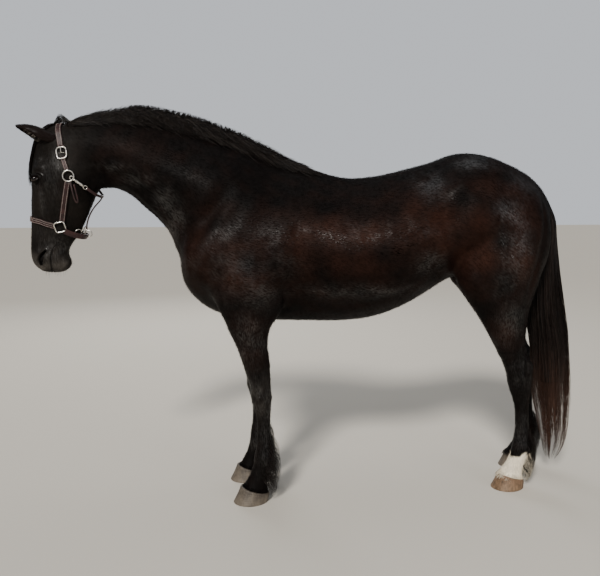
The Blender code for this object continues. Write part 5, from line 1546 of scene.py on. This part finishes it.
def stitches(name, places, along, aside, normals, width, thickness, seams, pitch=0.0052, length=0.0036):
    """Short raised stitches along lines on a strap."""
    run = np.concatenate(([0.0], np.cumsum(np.linalg.norm(np.diff(places, axis=0), axis=1))))
    marks = np.arange(0.004, run[-1] - 0.004, pitch)

    def at(values):
        return np.stack([np.interp(marks, run, values[:, k]) for k in range(3)], axis=1)

    middle, ahead, side, out = at(places), unit(at(along)), unit(at(aside)), unit(at(normals))
    paths, facing = [], []
    for seam in seams:
        base = middle + side * width * seam + out * thickness * 1.0
        shape = ((-0.5, -0.0006), (-0.3, 0.0006), (0.3, 0.0006), (0.5, -0.0006))
        paths.append(np.stack([base + ahead * length * x + out * y for x, y in shape], axis=1))
        facing.append(np.repeat(out[:, None, :], 4, axis=1))
    paths, facing = np.concatenate(paths), np.concatenate(facing)
    width_of = np.full((len(paths), 4), 0.0015)
    roots, patch = grid_map(np.arange(len(paths)), int(len(paths) ** 0.5) + 1)
    tone = np.tile((0.5, 0.42, 0.38), (len(paths), 1)) * stray(1.0, 0.08, len(paths)).clip(0.7, 1.2)[:, None]
    return locks(name, paths, facing, width_of, width_of, roots, tone, patch=patch, sides=4)


def ring_frame(centre, surface, upright=None, lift=0.0):
    place, normal = (np.array(v) for v in surface.tree.find_nearest(np.array(centre))[:2])
    middle = place + normal * lift
    up = np.array(upright or (0.0, 0.0, 1.0))
    up = unit(up - normal * (up @ normal))
    return middle, normal, up, np.cross(up, normal)


def wire(name, loop, radius, closed=True, sides=12):
    """Round wire along a loop of places."""
    loop = np.array(loop)
    count = len(loop)
    if closed:
        along = unit(np.roll(loop, -1, axis=0) - np.roll(loop, 1, axis=0))
    else:
        along = unit(np.gradient(loop, axis=0))
    middle = loop.mean(axis=0)
    flat = unit(np.cross(loop[0] - middle, loop[count // 4] - middle))
    first = unit(flat - along * (along @ flat)[:, None])
    second = np.cross(along, first)
    turn = 2 * pi * np.arange(sides) / sides
    rings = [loop[i] + np.outer(np.cos(turn), first[i]) * radius + np.outer(np.sin(turn), second[i]) * radius
        for i in range(count)]
    return loft_piece(name, rings, closed)


def loop_of(middle, up, side, half_height, half_width, corner=1.0, points=56, bow=0.0, normal=None):
    turn = 2 * pi * (np.arange(points) + 0.5) / points
    high, wide = squared(np.cos(turn), corner) * half_height, squared(np.sin(turn), corner) * half_width
    loop = middle + np.outer(high, up) + np.outer(wide, side)
    if bow:
        loop -= np.outer((wide / half_width) ** 2 * bow, normal)
    return loop


def join(pieces, name):
    """Several objects as one piece."""
    deselect()
    for piece in pieces:
        piece.select_set(True)
    bpy.context.view_layer.objects.active = pieces[0]
    if len(pieces) > 1:
        bpy.ops.object.join()
    pieces[0].name = name
    pieces[0].data.name = name
    return pieces[0]


def mirrored(point, side):
    return (point[0], -side * point[1], point[2])


def buckle(name, side, surface):
    """A rounded frame, its bar across the middle and a tongue."""
    middle, normal, up, across = ring_frame(mirrored((-0.8, -0.086, 1.613), side), surface, (-0.14, 0, 0.99),
        0.0075)
    loop = loop_of(middle, up, across, 0.0255, 0.0215, 0.62, bow=0.0015, normal=normal)
    parts = [wire(name, loop, 0.003)]
    bar = [middle + across * 0.021 * t - normal * 0.0005 for t in np.linspace(-1, 1, 7)]
    parts.append(wire(name + "b", bar, 0.0022, False))
    tongue = [middle + normal * h + up * t for t, h in ((0.0, 0.0026), (0.008, 0.004), (0.017, 0.0044),
        (0.0275, 0.0034))]
    parts.append(wire(name + "t", tongue, 0.0017, False))
    return join(parts, name)


def make_halter(surface):
    """Every strap, ring and buckle, with the nodes each stands for."""
    leather, thread, metal = [], [], []

    def add(node, made):
        leather.append((made[0], node))
        for line in made[1:]:
            thread.append((line, node))

    crown = [(-0.806, -0.084, 1.642), (-0.812, -0.08, 1.678), (-0.824, -0.055, 1.723)]
    crown += [(-0.83, 0.0, 1.748)] + [mirrored(p, 1) for p in crown[::-1]]
    add("halter.crownpiece", strap("halter_crownpiece", crown, surface))
    nose = [(-0.856, -0.068, 1.292), (-0.885, -0.066, 1.3), (-0.93, -0.06, 1.312), (-0.97, -0.034, 1.323)]
    nose += [(-0.984, 0.0, 1.326)] + [mirrored(p, 1) for p in nose[::-1]]
    add("halter.noseband", strap("halter_noseband", nose, surface, seams=(-0.34, 0.0, 0.34)))
    chin = [(-0.812, -0.066, 1.272), (-0.776, -0.052, 1.255), (-0.746, -0.036, 1.247)]
    chin += [(-0.736, 0.0, 1.244)] + [mirrored(p, 1) for p in chin[::-1]]
    add("halter.chin_strap", strap("halter_chin_strap", chin, surface, tight=False, seams=(),
        thickness=0.005))
    jaw = [(-0.657, 0.0, 1.43), (-0.666, 0.0, 1.41), (-0.695, 0.0, 1.38), (-0.719, 0.0, 1.342),
        (-0.733, 0.0, 1.302), (-0.735, 0.0, 1.276)]
    add("halter.jaw_strap", strap("halter_jaw_strap", jaw, surface, width=0.012, tight=False, seams=()))
    for side, hand in ((-1, "left"), (1, "right")):
        def on(points):
            return [mirrored(p, side) for p in points]

        cheek = on([(-0.775, -0.1, 1.491), (-0.792, -0.09, 1.428), (-0.808, -0.08, 1.368),
            (-0.822, -0.072, 1.308)])
        add(f"halter.cheek_strap_{hand}", strap(f"halter_cheek_strap_{hand}", cheek, surface))
        link = on([(-0.797, -0.088, 1.596), (-0.786, -0.096, 1.563), (-0.776, -0.098, 1.537)])
        add(f"halter.upper_strap_{hand}", strap(f"halter_upper_strap_{hand}", link, surface, width=0.02))
        metal.append((buckle(f"halter_buckle_{hand}", side, surface), f"halter.buckle_{hand}"))
        middle, normal, up, across = ring_frame(mirrored((-0.771, -0.1, 1.514), side), surface, lift=0.0078)
        loop = loop_of(middle, up, across, 0.0235, 0.0235)
        metal.append((wire(f"halter_cheek_ring_{hand}", loop, 0.0029), f"halter.cheek_ring_{hand}"))
        middle, normal, up, across = ring_frame(mirrored((-0.831, -0.07, 1.288), side), surface,
            (-0.25, 0.0, 0.978), 0.0078)
        loop = loop_of(middle, up, across, 0.0225, 0.0225, 0.42, bow=0.001, normal=normal)
        metal.append((wire(f"halter_square_ring_{hand}", loop, 0.003), f"halter.square_ring_{hand}"))
    throat = [(-0.7, -0.078, 1.46), (-0.682, -0.06, 1.443), (-0.666, -0.038, 1.43)]
    throat += [(-0.656, 0.0, 1.424)] + [mirrored(p, 1) for p in throat[::-1]]
    add("halter.throat_strap", strap("halter_throat_strap", throat, surface, width=0.012, tight=False,
        seams=()))
    snap_parts = []
    for side in (-1, 1):
        snap_parts += snap_hook(side, surface)
    metal.append((join(snap_parts, "halter_snaps"), "halter.throat_strap"))
    loose = [(-0.762, -0.106, 1.49), (-0.7555, -0.11, 1.455), (-0.748, -0.11, 1.42), (-0.741, -0.108, 1.402)]
    loose += [(-0.734, -0.107, 1.4), (-0.733, -0.108, 1.412), (-0.738, -0.109, 1.44), (-0.747, -0.108, 1.478)]
    add("halter.cheek_strap_left", strap("halter_loose_end", loose, surface, width=0.006, thickness=0.0024,
        tight=False, seams=(), lift=0.004))
    ring = np.array((-0.7315, 0.0, 1.26))
    chin_rings = []
    for side in (-1, 1):
        centre = ring + (-0.03 if side < 0 else 0.006, side * 0.03, 0.004)
        place, normal, up, across = ring_frame(centre, surface, (0.3, 0, 0.95), 0.011)
        chin_rings.append(wire(f"r{side}", loop_of(place, up, across, 0.015, 0.015), 0.0022))
    lower = loop_of(ring + (0.006, 0.0, -0.004), np.array((0.0, 0.0, 1.0)), np.array((1.0, 0.0, 0.0)), 0.0155,
        0.0155)
    chin_rings.append(wire("r0", lower, 0.0024))
    metal.append((join(chin_rings, "halter_chin_rings"), "halter.chin_strap"))
    return leather, thread, metal


def snap_hook(side, surface):
    """A small swivel snap between the cheek ring and the throat strap."""
    first = np.array(mirrored((-0.751, -0.1, 1.501), side))
    last = np.array(mirrored((-0.708, -0.082, 1.467), side))
    parts = []
    line = []
    for share in np.linspace(0.0, 1.0, 9):
        point = first * (1 - share) + last * share
        place, normal = (np.array(v) for v in surface.tree.find_nearest(point)[:2])
        line.append(place + normal * 0.0075)
    line = np.array(line)
    radius = np.array((0.0026, 0.0036, 0.0064, 0.0066, 0.0042, 0.0064, 0.0068, 0.005, 0.0028))
    along = unit(np.gradient(line, axis=0))
    flat = unit(np.cross(along, (0.0, side, 0.0)))
    second = np.cross(along, flat)
    turn = 2 * pi * np.arange(14) / 14
    rings = [line[i] + (np.outer(np.cos(turn), flat[i]) + np.outer(np.sin(turn), second[i])) * radius[i]
        for i in range(9)]
    parts.append(loft_piece(f"snap{side}", rings))
    for end, way in ((0, -1), (8, 1)):
        middle = line[end] + along[end] * way * 0.0065
        loop = loop_of(middle, along[end], flat[end], 0.0095, 0.0078, 0.9, 32)
        parts.append(wire(f"eye{side}{end}", loop, 0.0022, sides=8))
    lever = [line[4] + second[4] * 0.002, line[4] + second[4] * 0.007]
    parts.append(wire(f"lever{side}", [lever[0], (lever[0] + lever[1]) / 2, lever[1]], 0.0013, False, 8))
    return parts


# Materials. Each is a few nodes on Object coordinates and the colours painted on the vertices.

def new_material(name, roughness, **values):
    material = bpy.data.materials.new(name)
    material.use_nodes = True
    shader = material.node_tree.nodes["Principled BSDF"]
    shader.inputs["Roughness"].default_value = roughness
    for socket, value in values.items():
        shader.inputs[socket.replace("_", " ")].default_value = value
    return material, material.node_tree, shader


def add(tree, kind, inputs=None, **settings):
    node = tree.nodes.new(f"ShaderNode{kind}")
    for key, value in settings.items():
        setattr(node, key, value)
    for key, value in (inputs or {}).items():
        if isinstance(value, bpy.types.NodeSocket):
            tree.links.new(value, node.inputs[key])
        else:
            node.inputs[key].default_value = value
    return node


def spread(tree, value, low, high, start, end):
    """A value taken from one range to another."""
    values = {"Value": value, "From Min": low, "From Max": high, "To Min": start, "To Max": end}
    return add(tree, "MapRange", values)


def maths(tree, operation, *values):
    return add(tree, "Math", dict(enumerate(values)), operation=operation)


def group_of(name, inputs, outputs):
    """An empty node group with these named sockets: name to (kind, default)."""
    group = bpy.data.node_groups.new(name, "ShaderNodeTree")
    for label, (kind, default) in inputs.items():
        socket = group.interface.new_socket(label, in_out="INPUT", socket_type=kind)
        if default is not None:
            socket.default_value = default
    for label, kind in outputs.items():
        group.interface.new_socket(label, in_out="OUTPUT", socket_type=kind)
    return group, group.nodes.new("NodeGroupInput"), group.nodes.new("NodeGroupOutput")


FLOAT, COLOUR, VECTOR = "NodeSocketFloat", "NodeSocketColor", "NodeSocketVector"


def coat_group():
    """Colour, roughness and height of short hair that lies in one of three directions."""
    group, given, result = group_of("short_hair", {"Tone": (COLOUR, None), "Flow": (VECTOR, None),
        "Place": (VECTOR, None), "Gloss": (FLOAT, 0.36), "Mottle": (FLOAT, 0.3)},
        {"Color": COLOUR, "Roughness": FLOAT, "Height": FLOAT, "Sheen": FLOAT})
    place = given.outputs["Place"]
    heights, grains = [], []
    for turn in (radians(-15), radians(-38), radians(-84)):
        turned = add(group, "Mapping", {"Vector": place, "Rotation": (0.0, turn, 0.0)})
        fine = add(group, "Mapping", {"Vector": turned.outputs[0], "Scale": (70.0, 420.0, 420.0)})
        broad = add(group, "Mapping", {"Vector": turned.outputs[0], "Scale": (48.0, 190.0, 190.0)})
        hairs = add(group, "TexNoise", {"Vector": fine.outputs[0], "Scale": 1.0, "Detail": 3.0,
            "Roughness": 0.62})
        tufts = add(group, "TexNoise", {"Vector": broad.outputs[0], "Scale": 1.0, "Detail": 4.0,
            "Roughness": 0.6})
        both = maths(group, "MULTIPLY_ADD", tufts.outputs["Fac"], 0.65, hairs.outputs["Fac"])
        heights.append(both.outputs[0])
        grains.append(tufts.outputs["Fac"])
    parts = add(group, "SeparateXYZ", {"Vector": given.outputs["Flow"]})

    def mixed(values):
        first = add(group, "Mix", {"Factor": parts.outputs["X"], "A": values[0], "B": values[1]})
        second = add(group, "Mix", {"Factor": parts.outputs["Y"], "A": first.outputs[0], "B": values[2]})
        return second.outputs[0]

    height, grain = mixed(heights), mixed(grains)
    cloud = add(group, "TexNoise", {"Vector": place, "Scale": 26.0, "Detail": 4.0, "Roughness": 0.6})
    light = spread(group, grain, 0.3, 0.7, 0.84, 1.18)
    deep = spread(group, cloud.outputs["Fac"], 0.3, 0.7, 0.82, 1.2)
    both = maths(group, "MULTIPLY", light.outputs[0], deep.outputs[0])
    tone = add(group, "VectorMath", {0: given.outputs["Tone"], "Scale": both.outputs[0]}, operation="SCALE")
    rough = spread(group, grain, 0.3, 0.7, 0.14, -0.1)
    share = maths(group, "MULTIPLY", rough.outputs[0], given.outputs["Mottle"])
    cloudy = maths(group, "MULTIPLY_ADD", cloud.outputs["Fac"], 0.12, share.outputs[0])
    total = maths(group, "ADD", cloudy.outputs[0], given.outputs["Gloss"])
    patches = spread(group, grain, 0.4, 0.6, 0.1, 1.5)
    shine = add(group, "Math", {0: parts.outputs["Z"], 1: patches.outputs[0]}, operation="MULTIPLY",
        use_clamp=True)
    group.links.new(shine.outputs[0], result.inputs["Sheen"])
    group.links.new(tone.outputs[0], result.inputs["Color"])
    group.links.new(total.outputs[0], result.inputs["Roughness"])
    group.links.new(height, result.inputs["Height"])
    return group


def coat_material(name, group, gloss, mottle, bump, specular=0.5, **values):
    material, tree, shader = new_material(name, 0.5, Specular_IOR_Level=specular, **values)
    tone = add(tree, "Attribute", attribute_name="tone")
    flow = add(tree, "Attribute", attribute_name="flow")
    place = add(tree, "TexCoord")
    hair = tree.nodes.new("ShaderNodeGroup")
    hair.node_tree = group
    tree.links.new(tone.outputs["Color"], hair.inputs["Tone"])
    tree.links.new(flow.outputs["Vector"], hair.inputs["Flow"])
    tree.links.new(place.outputs["Object"], hair.inputs["Place"])
    hair.inputs["Gloss"].default_value = gloss
    hair.inputs["Mottle"].default_value = mottle
    tree.links.new(hair.outputs["Color"], shader.inputs["Base Color"])
    tree.links.new(hair.outputs["Roughness"], shader.inputs["Roughness"])
    tree.links.new(hair.outputs["Sheen"], shader.inputs["Coat Weight"])
    shader.inputs["Coat Roughness"].default_value = SHEEN_ROUGHNESS
    if bump:
        raised = add(tree, "Bump", {"Strength": 1.0, "Distance": bump, "Height": hair.outputs["Height"]})
        tree.links.new(raised.outputs["Normal"], shader.inputs["Normal"])
    return material


def tone_material(name, roughness, grain=0.0, scale=60.0, bump=0.0, **values):
    """The painted tone, with a little noise in its lightness and height."""
    material, tree, shader = new_material(name, roughness, **values)
    tone = add(tree, "Attribute", attribute_name="tone")
    place = add(tree, "TexCoord")
    noise = add(tree, "TexNoise", {"Vector": place.outputs["Object"], "Scale": scale, "Detail": 4.0})
    light = spread(tree, noise.outputs["Fac"], 0.3, 0.7, 1 - grain, 1 + grain)
    colour = add(tree, "VectorMath", {0: tone.outputs["Color"], "Scale": light.outputs[0]}, operation="SCALE")
    tree.links.new(colour.outputs[0], shader.inputs["Base Color"])
    if bump:
        raised = add(tree, "Bump", {"Strength": 1.0, "Distance": bump, "Height": noise.outputs["Fac"]})
        tree.links.new(raised.outputs["Normal"], shader.inputs["Normal"])
    return material


def ramp(tree, value, stops):
    node = add(tree, "ValToRGB", {0: value})
    while len(node.color_ramp.elements) < len(stops):
        node.color_ramp.elements.new(0.5)
    for element, (place, colour) in zip(node.color_ramp.elements, stops):
        element.position = place
        element.color = (*colour, 1.0)
    return node.outputs[0]


def leather_material():
    material, tree, shader = new_material("halter_leather", 0.5, Specular_IOR_Level=0.32)
    place = add(tree, "TexCoord").outputs["Object"]
    cloud = add(tree, "TexNoise", {"Vector": place, "Scale": 38.0, "Detail": 5.0, "Roughness": 0.65})
    grain = add(tree, "TexVoronoi", {"Vector": place, "Scale": 900.0})
    colour = ramp(tree, cloud.outputs["Fac"], [(0.25, (0.01, 0.0045, 0.0045)), (0.5, (0.026, 0.01, 0.01)),
        (0.75, (0.055, 0.021, 0.019))])
    tree.links.new(colour, shader.inputs["Base Color"])
    rough = spread(tree, cloud.outputs["Fac"], 0.3, 0.7, 0.55, 0.36)
    tree.links.new(rough.outputs[0], shader.inputs["Roughness"])
    height = maths(tree, "MULTIPLY_ADD", cloud.outputs["Fac"], 3.0, grain.outputs["Distance"])
    raised = add(tree, "Bump", {"Strength": 0.6, "Distance": 0.0003, "Height": height.outputs[0]})
    tree.links.new(raised.outputs["Normal"], shader.inputs["Normal"])
    return material


def metal_material():
    material, tree, shader = new_material("halter_metal", 0.25, Metallic=1.0)
    place = add(tree, "TexCoord").outputs["Object"]
    cloud = add(tree, "TexNoise", {"Vector": place, "Scale": 90.0, "Detail": 5.0, "Roughness": 0.7})
    colour = ramp(tree, cloud.outputs["Fac"], [(0.3, (0.42, 0.36, 0.28)), (0.48, (0.72, 0.69, 0.64)),
        (0.75, (0.82, 0.8, 0.77))])
    tree.links.new(colour, shader.inputs["Base Color"])
    rough = spread(tree, cloud.outputs["Fac"], 0.3, 0.7, 0.42, 0.2)
    tree.links.new(rough.outputs[0], shader.inputs["Roughness"])
    return material


def eye_material():
    """A very dark brown eye with a wide pupil and a pale hint of white at its corners."""
    material, tree, shader = new_material("eye", 0.05, Specular_IOR_Level=0.45)
    look = add(tree, "Attribute", attribute_name="tone")
    parts = add(tree, "SeparateXYZ", {"Vector": look.outputs["Vector"]})

    def squeezed(name, size, power=2.0):
        away = maths(tree, "SUBTRACT", parts.outputs[name], 0.5)
        scaled = maths(tree, "DIVIDE", away.outputs[0], size)
        return maths(tree, "MULTIPLY", scaled.outputs[0], scaled.outputs[0]).outputs[0]

    def oval_of(wide, high):
        total = maths(tree, "ADD", squeezed("X", wide), squeezed("Y", high))
        return maths(tree, "POWER", total.outputs[0], 0.5).outputs[0]

    pupil = ramp(tree, oval_of(0.23, 0.115), [(0.8, (0.0, 0.0, 0.0)), (1.0, (1.0, 1.0, 1.0))])
    white = ramp(tree, oval_of(0.395, 0.395), [(0.92, (0.0, 0.0, 0.0)), (1.0, (1.0, 1.0, 1.0))])
    place = add(tree, "TexCoord").outputs["Object"]
    noise = add(tree, "TexNoise", {"Vector": place, "Scale": 420.0, "Detail": 4.0})
    iris = ramp(tree, noise.outputs["Fac"], [(0.3, (0.004, 0.002, 0.0015)), (0.7, (0.016, 0.007, 0.004))])
    inner = add(tree, "Mix", {"Factor": pupil, "A": (0.0015, 0.0015, 0.002, 1.0), "B": iris},
        data_type="RGBA")
    outer = add(tree, "Mix", {"Factor": white, "A": inner.outputs[2], "B": (0.045, 0.028, 0.022, 1.0)},
        data_type="RGBA")
    tree.links.new(outer.outputs[2], shader.inputs["Base Color"])
    return material


def horn_material(name, stops, dust, dust_colour):
    """Hoof horn: rings of growth, streaks down the wall and dust near the ground."""
    material, tree, shader = new_material(name, 0.58, Specular_IOR_Level=0.4)
    given = add(tree, "Attribute", attribute_name="tone")
    parts = add(tree, "SeparateXYZ", {"Vector": given.outputs["Vector"]})
    place = add(tree, "TexCoord").outputs["Object"]
    streak_space = add(tree, "Mapping", {"Vector": place, "Scale": (160.0, 160.0, 14.0)})
    streaks = add(tree, "TexNoise", {"Vector": streak_space.outputs[0], "Scale": 1.0, "Detail": 4.0})
    cloud = add(tree, "TexNoise", {"Vector": place, "Scale": 34.0, "Detail": 5.0, "Roughness": 0.65})
    wave = add(tree, "TexWave", {"Vector": place, "Scale": 42.0, "Distortion": 3.0, "Detail": 2.0},
        bands_direction="Z")
    mixed = maths(tree, "MULTIPLY", streaks.outputs["Fac"], 0.5)
    mixed = maths(tree, "MULTIPLY_ADD", cloud.outputs["Fac"], 0.55, mixed.outputs[0])
    colour = ramp(tree, mixed.outputs[0], stops)
    low = spread(tree, parts.outputs["X"], 0.0, 0.9, dust, dust * 0.25)
    speck = maths(tree, "MULTIPLY", cloud.outputs["Fac"], low.outputs[0])
    wall = add(tree, "Mix", {"Factor": speck.outputs[0], "A": colour, "B": (*dust_colour, 1.0)},
        data_type="RGBA")
    tree.links.new(wall.outputs[2], shader.inputs["Base Color"])
    height = maths(tree, "MULTIPLY_ADD", wave.outputs["Fac"], 0.6, streaks.outputs["Fac"])
    raised = add(tree, "Bump", {"Strength": 0.8, "Distance": 0.0009, "Height": height.outputs[0]})
    tree.links.new(raised.outputs["Normal"], shader.inputs["Normal"])
    return material


def dress(obj, material, slot, *nodes):
    """Gives a piece its material and its body, and hides the solid model's parts of the nodes it stands for;
    its slot is not used.
    """
    obj.data.materials.clear()
    obj.data.materials.append(material)
    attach(obj, "root")
    if nodes:
        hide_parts(*nodes)
    return obj


# The stage.

def soft_light(name, place, target, size, power, colour=(1.0, 1.0, 1.0)):
    light = bpy.data.lights.new(name, "AREA")
    light.shape = "RECTANGLE"
    light.size, light.size_y = size
    light.energy = power
    light.color = colour
    made = bpy.data.objects.new(name, light)
    bpy.context.scene.collection.objects.link(made)
    made.location = place
    made.rotation_euler = (Vector(target) - Vector(place)).to_track_quat("-Z", "Y").to_euler()


def make_stage():
    deselect()
    bpy.ops.mesh.primitive_plane_add(size=60.0, location=(0.0, 0.0, 0.0))
    floor = bpy.context.object
    floor.name = "floor"
    material, _, shader = new_material("floor", 0.85, Specular_IOR_Level=0.2)
    shader.inputs["Base Color"].default_value = (0.62, 0.585, 0.52, 1.0)
    floor.data.materials.append(material)
    sun = bpy.data.lights.new("key", "SUN")
    sun.energy, sun.angle = KEY_STRENGTH, radians(11)
    sun.color = (1.0, 0.96, 0.9)
    made = bpy.data.objects.new("key", sun)
    bpy.context.scene.collection.objects.link(made)
    made.rotation_euler = Vector(KEY_DIRECTION).to_track_quat("-Z", "Y").to_euler()
    soft_light("fill", (3.6, -4.6, 2.2), (0.2, 0.0, 0.9), (2.4, 2.4), 50.0)
    soft_light("top", (0.2, 0.8, 5.2), (0.1, 0.0, 1.0), (4.0, 2.0), 25.0)
    soft_light("behind", (-1.0, 5.4, 3.6), (0.1, 0.0, 1.1), (3.4, 2.0), 110.0)
    world = bpy.data.worlds.new("studio")
    world.use_nodes = True
    tree = world.node_tree
    background = tree.nodes["Background"]
    background.inputs["Color"].default_value = (0.8, 0.83, 0.88, 1.0)
    seen = add(tree, "LightPath")
    strength = add(tree, "MapRange", {"Value": seen.outputs["Is Camera Ray"], "To Min": WORLD_LIGHT,
        "To Max": WORLD_SEEN})
    tree.links.new(strength.outputs[0], background.inputs["Strength"])
    bpy.context.scene.world = world


def make_camera():
    camera = bpy.data.cameras.new("camera")
    made = bpy.data.objects.new("camera", camera)
    bpy.context.scene.collection.objects.link(made)
    camera.sensor_width = 36.0
    camera.lens = CAMERA_LENS
    camera.clip_start, camera.clip_end = 0.05, 100.0
    way = Vector((sin(CAMERA_YAW) * cos(CAMERA_PITCH), cos(CAMERA_YAW) * cos(CAMERA_PITCH),
        -sin(CAMERA_PITCH)))
    made.rotation_euler = way.to_track_quat("-Z", "Y").to_euler()
    made.location = Vector(CAMERA_PLACE) + Vector(TO_MIDDLE)
    bpy.context.scene.camera = made


def paint_skin(skin):
    """The skin's colours, with painted shade in the nostril slits and along the mouth line, and, as flow,
    which way its hair lies: neck share and downward share.
    """
    points = places_of(skin.data)
    tone = coat_tone(points)
    flat = points[:, (0, 2)]
    head = on_head(points)
    # Painted shade: the nostril slits and the mouth line are painted near-black where these creases lie,
    # standing in for the shade in them.
    slit, place = line_distance(flat, curve(NOSTRIL))
    inside = (1 - ease(slit, 0.003, 0.01)) * head * (np.abs(points[:, 1]) > 0.02)
    mouth, run = line_distance(flat, curve(MOUTH))
    inside = np.maximum(inside, (1 - ease(mouth, 0.0006, 0.0024)) * head * (points[:, 2] < 1.235)
        * (0.7 - 0.6 * run))
    # The painted shade's near-black colour, laid over the coat in those creases.
    tone = tone * (1 - inside[:, None]) + np.array((0.0035, 0.0028, 0.0028)) * inside[:, None]
    lid = np.exp(-((np.minimum(np.linalg.norm(points - EYE_CENTRE, axis=1),
        np.linalg.norm(points - EYE_CENTRE * (1, -1, 1), axis=1)) - 0.023) / 0.006) ** 2)[:, None]
    tone = tone * (1 - 0.55 * lid) + np.array((0.004, 0.0035, 0.0035)) * 0.55 * lid
    paint(skin.data, tone)
    paint(skin.data, flow_of(points), "flow")


def unwrap(obj):
    pick(obj)
    obj.data.uv_layers.new(name="OFBake")
    bpy.ops.object.mode_set(mode="EDIT")
    bpy.ops.mesh.select_all(action="SELECT")
    bpy.ops.uv.smart_project(angle_limit=radians(72), island_margin=0.001, scale_to_bounds=False)
    bpy.ops.object.mode_set(mode="OBJECT")
    uv = np.empty(len(obj.data.loops) * 2, dtype=np.float32)
    layer = obj.data.uv_layers["OFBake"].uv
    layer.foreach_get("vector", uv)
    uv = uv.reshape(-1, 2)
    low, high = uv.min(axis=0), uv.max(axis=0)
    uv = 0.001 + (uv - low) / (high - low) * 0.998
    layer.foreach_set("vector", uv.ravel())


SHEEN_ROUGHNESS = 0.34
WORLD_LIGHT = 0.26
WORLD_SEEN = 0.8
TUFTS = 78000
KEY_STRENGTH = 3.6
KEY_DIRECTION = (0.34, 0.72, -0.6)
CAMERA_PLACE = (-0.162, -3.191, 1.423)
CAMERA_YAW = radians(7.3)
CAMERA_PITCH = 0.13302
CAMERA_LENS = 40.8

COAT_NODES = ["head", "neck", "trunk"]
for hand in ("left", "right"):
    COAT_NODES += [f"foreleg_{hand}.{part}" for part in ("forearm", "cannon", "pastern")]
    COAT_NODES += [f"hindleg_{hand}.{part}" for part in ("thigh", "cannon", "pastern")]


def hold_inside(obj, margin=0.0008):
    """Keeps the tips of loose hair inside the solid model's box."""
    points = places_of(obj.data)
    low, high = np.array(CAD_BOX)
    move_to(obj.data, np.clip(points, low + (margin, margin, 0.0), high - margin))


def main():
    for obj in [o for o in bpy.data.objects if o.type in ("CAMERA", "LIGHT")]:
        bpy.data.objects.remove(obj)
    short_hair = coat_group()
    skin_look = coat_material("coat", short_hair, 0.46, 0.6, 0.0007, 0.05)
    tuft_look = coat_material("coat_tufts", short_hair, 0.46, 0.6, 0.0, 0.05)
    hair_look = tone_material("long_hair", 0.36, 0.25, 60.0, Specular_IOR_Level=0.22)
    thread_look = tone_material("thread", 0.8, 0.15, 300.0)
    leather_look, metal_look, eye_look = leather_material(), metal_material(), eye_material()
    dark_horn = horn_material("dark_horn", [(0.3, (0.018, 0.014, 0.012)), (0.5, (0.048, 0.038, 0.03)),
        (0.7, (0.105, 0.086, 0.066))], 1.0, (0.2, 0.165, 0.125))
    pale_horn = horn_material("pale_horn", [(0.36, (0.026, 0.014, 0.008)), (0.47, (0.105, 0.058, 0.03)),
        (0.66, (0.24, 0.14, 0.08))], 0.5, (0.2, 0.15, 0.09))

    skin = make_skin()
    unwrap(skin)
    skin.data.shade_smooth()
    surface = Surface(skin.data)
    paint_skin(skin)
    pieces = coat_tufts(surface, TUFTS)
    for piece in pieces:
        hold_inside(piece)
        dress(piece, tuft_look, "coat", *COAT_NODES)
    hair = [(mane_hair(surface, 2900), "mane"), (mane_fringe(surface, 2600), "mane"),
        (poll_tuft(surface, 260), "mane"), (near_side_mane(surface, 2800), "mane"), (tail_hair(2300), "tail"),
        (forelock_hair(surface, 420), "forelock"), (core_of("tail_core", TAIL, 0.7, 1, 30), "tail")]
    for side, hand in ((-1, "left"), (1, "right")):
        for fore, leg in ((True, "foreleg"), (False, "hindleg")):
            node = f"{leg}_{hand}"
            hair.append((feather_hair(surface, f"{node}_feather", fore, side, 520), f"{node}.feather"))
            fringe = coronet_fringe(surface, f"{node}_coronet", fore, side, 420)
            dress(fringe, tuft_look, "coat", f"{node}.pastern")
            hoof = make_hoof(f"{node}_hoof", fore, side)
            pale = (side, fore) == (-1, False)
            dress(hoof, pale_horn if pale else dark_horn, "pale_horn" if pale else "dark_horn",
                f"{node}.hoof")
        ear = make_ear(f"ear_{hand}_shell", side)
        paint(ear.data, np.tile(BLACK * 1.4 + BROWN * 0.12, (len(ear.data.vertices), 1)))
        paint(ear.data, np.tile((0.0, 0.0, 0.1), (len(ear.data.vertices), 1)), "flow")
        dress(ear, skin_look, "coat", f"ear_{hand}")
        fur = ear_hair(f"ear_{hand}_hair", side, 900)
        hold_inside(fur)
        dress(fur, tuft_look, "coat", f"ear_{hand}")
        dress(make_eye(f"eyeball_{hand}", side), eye_look, "eye", f"eye_{hand}")
        dress(lashes(f"lashes_{hand}", side, surface), hair_look, "long_hair", f"eye_{hand}")
    for piece, node in hair:
        if "core" in piece.name:
            paint(piece.data, np.tile(BLACK * 0.8, (len(piece.data.vertices), 1)))
        hold_inside(piece)
        dress(piece, hair_look, "long_hair", node)
    leather, thread, metal = make_halter(surface)
    for piece, node in leather:
        dress(piece, leather_look, "halter_leather", node)
    for piece, node in thread:
        dress(piece, thread_look, "halter_leather", node)
    for piece, node in metal:
        dress(piece, metal_look, "halter_metal", node)
    points = places_of(skin.data)
    move_to(skin.data, placed(points - normals_of(skin.data) * COAT_DEPTH))
    dress(skin, skin_look, "coat", *COAT_NODES)
    make_stage()
    make_camera()


main()
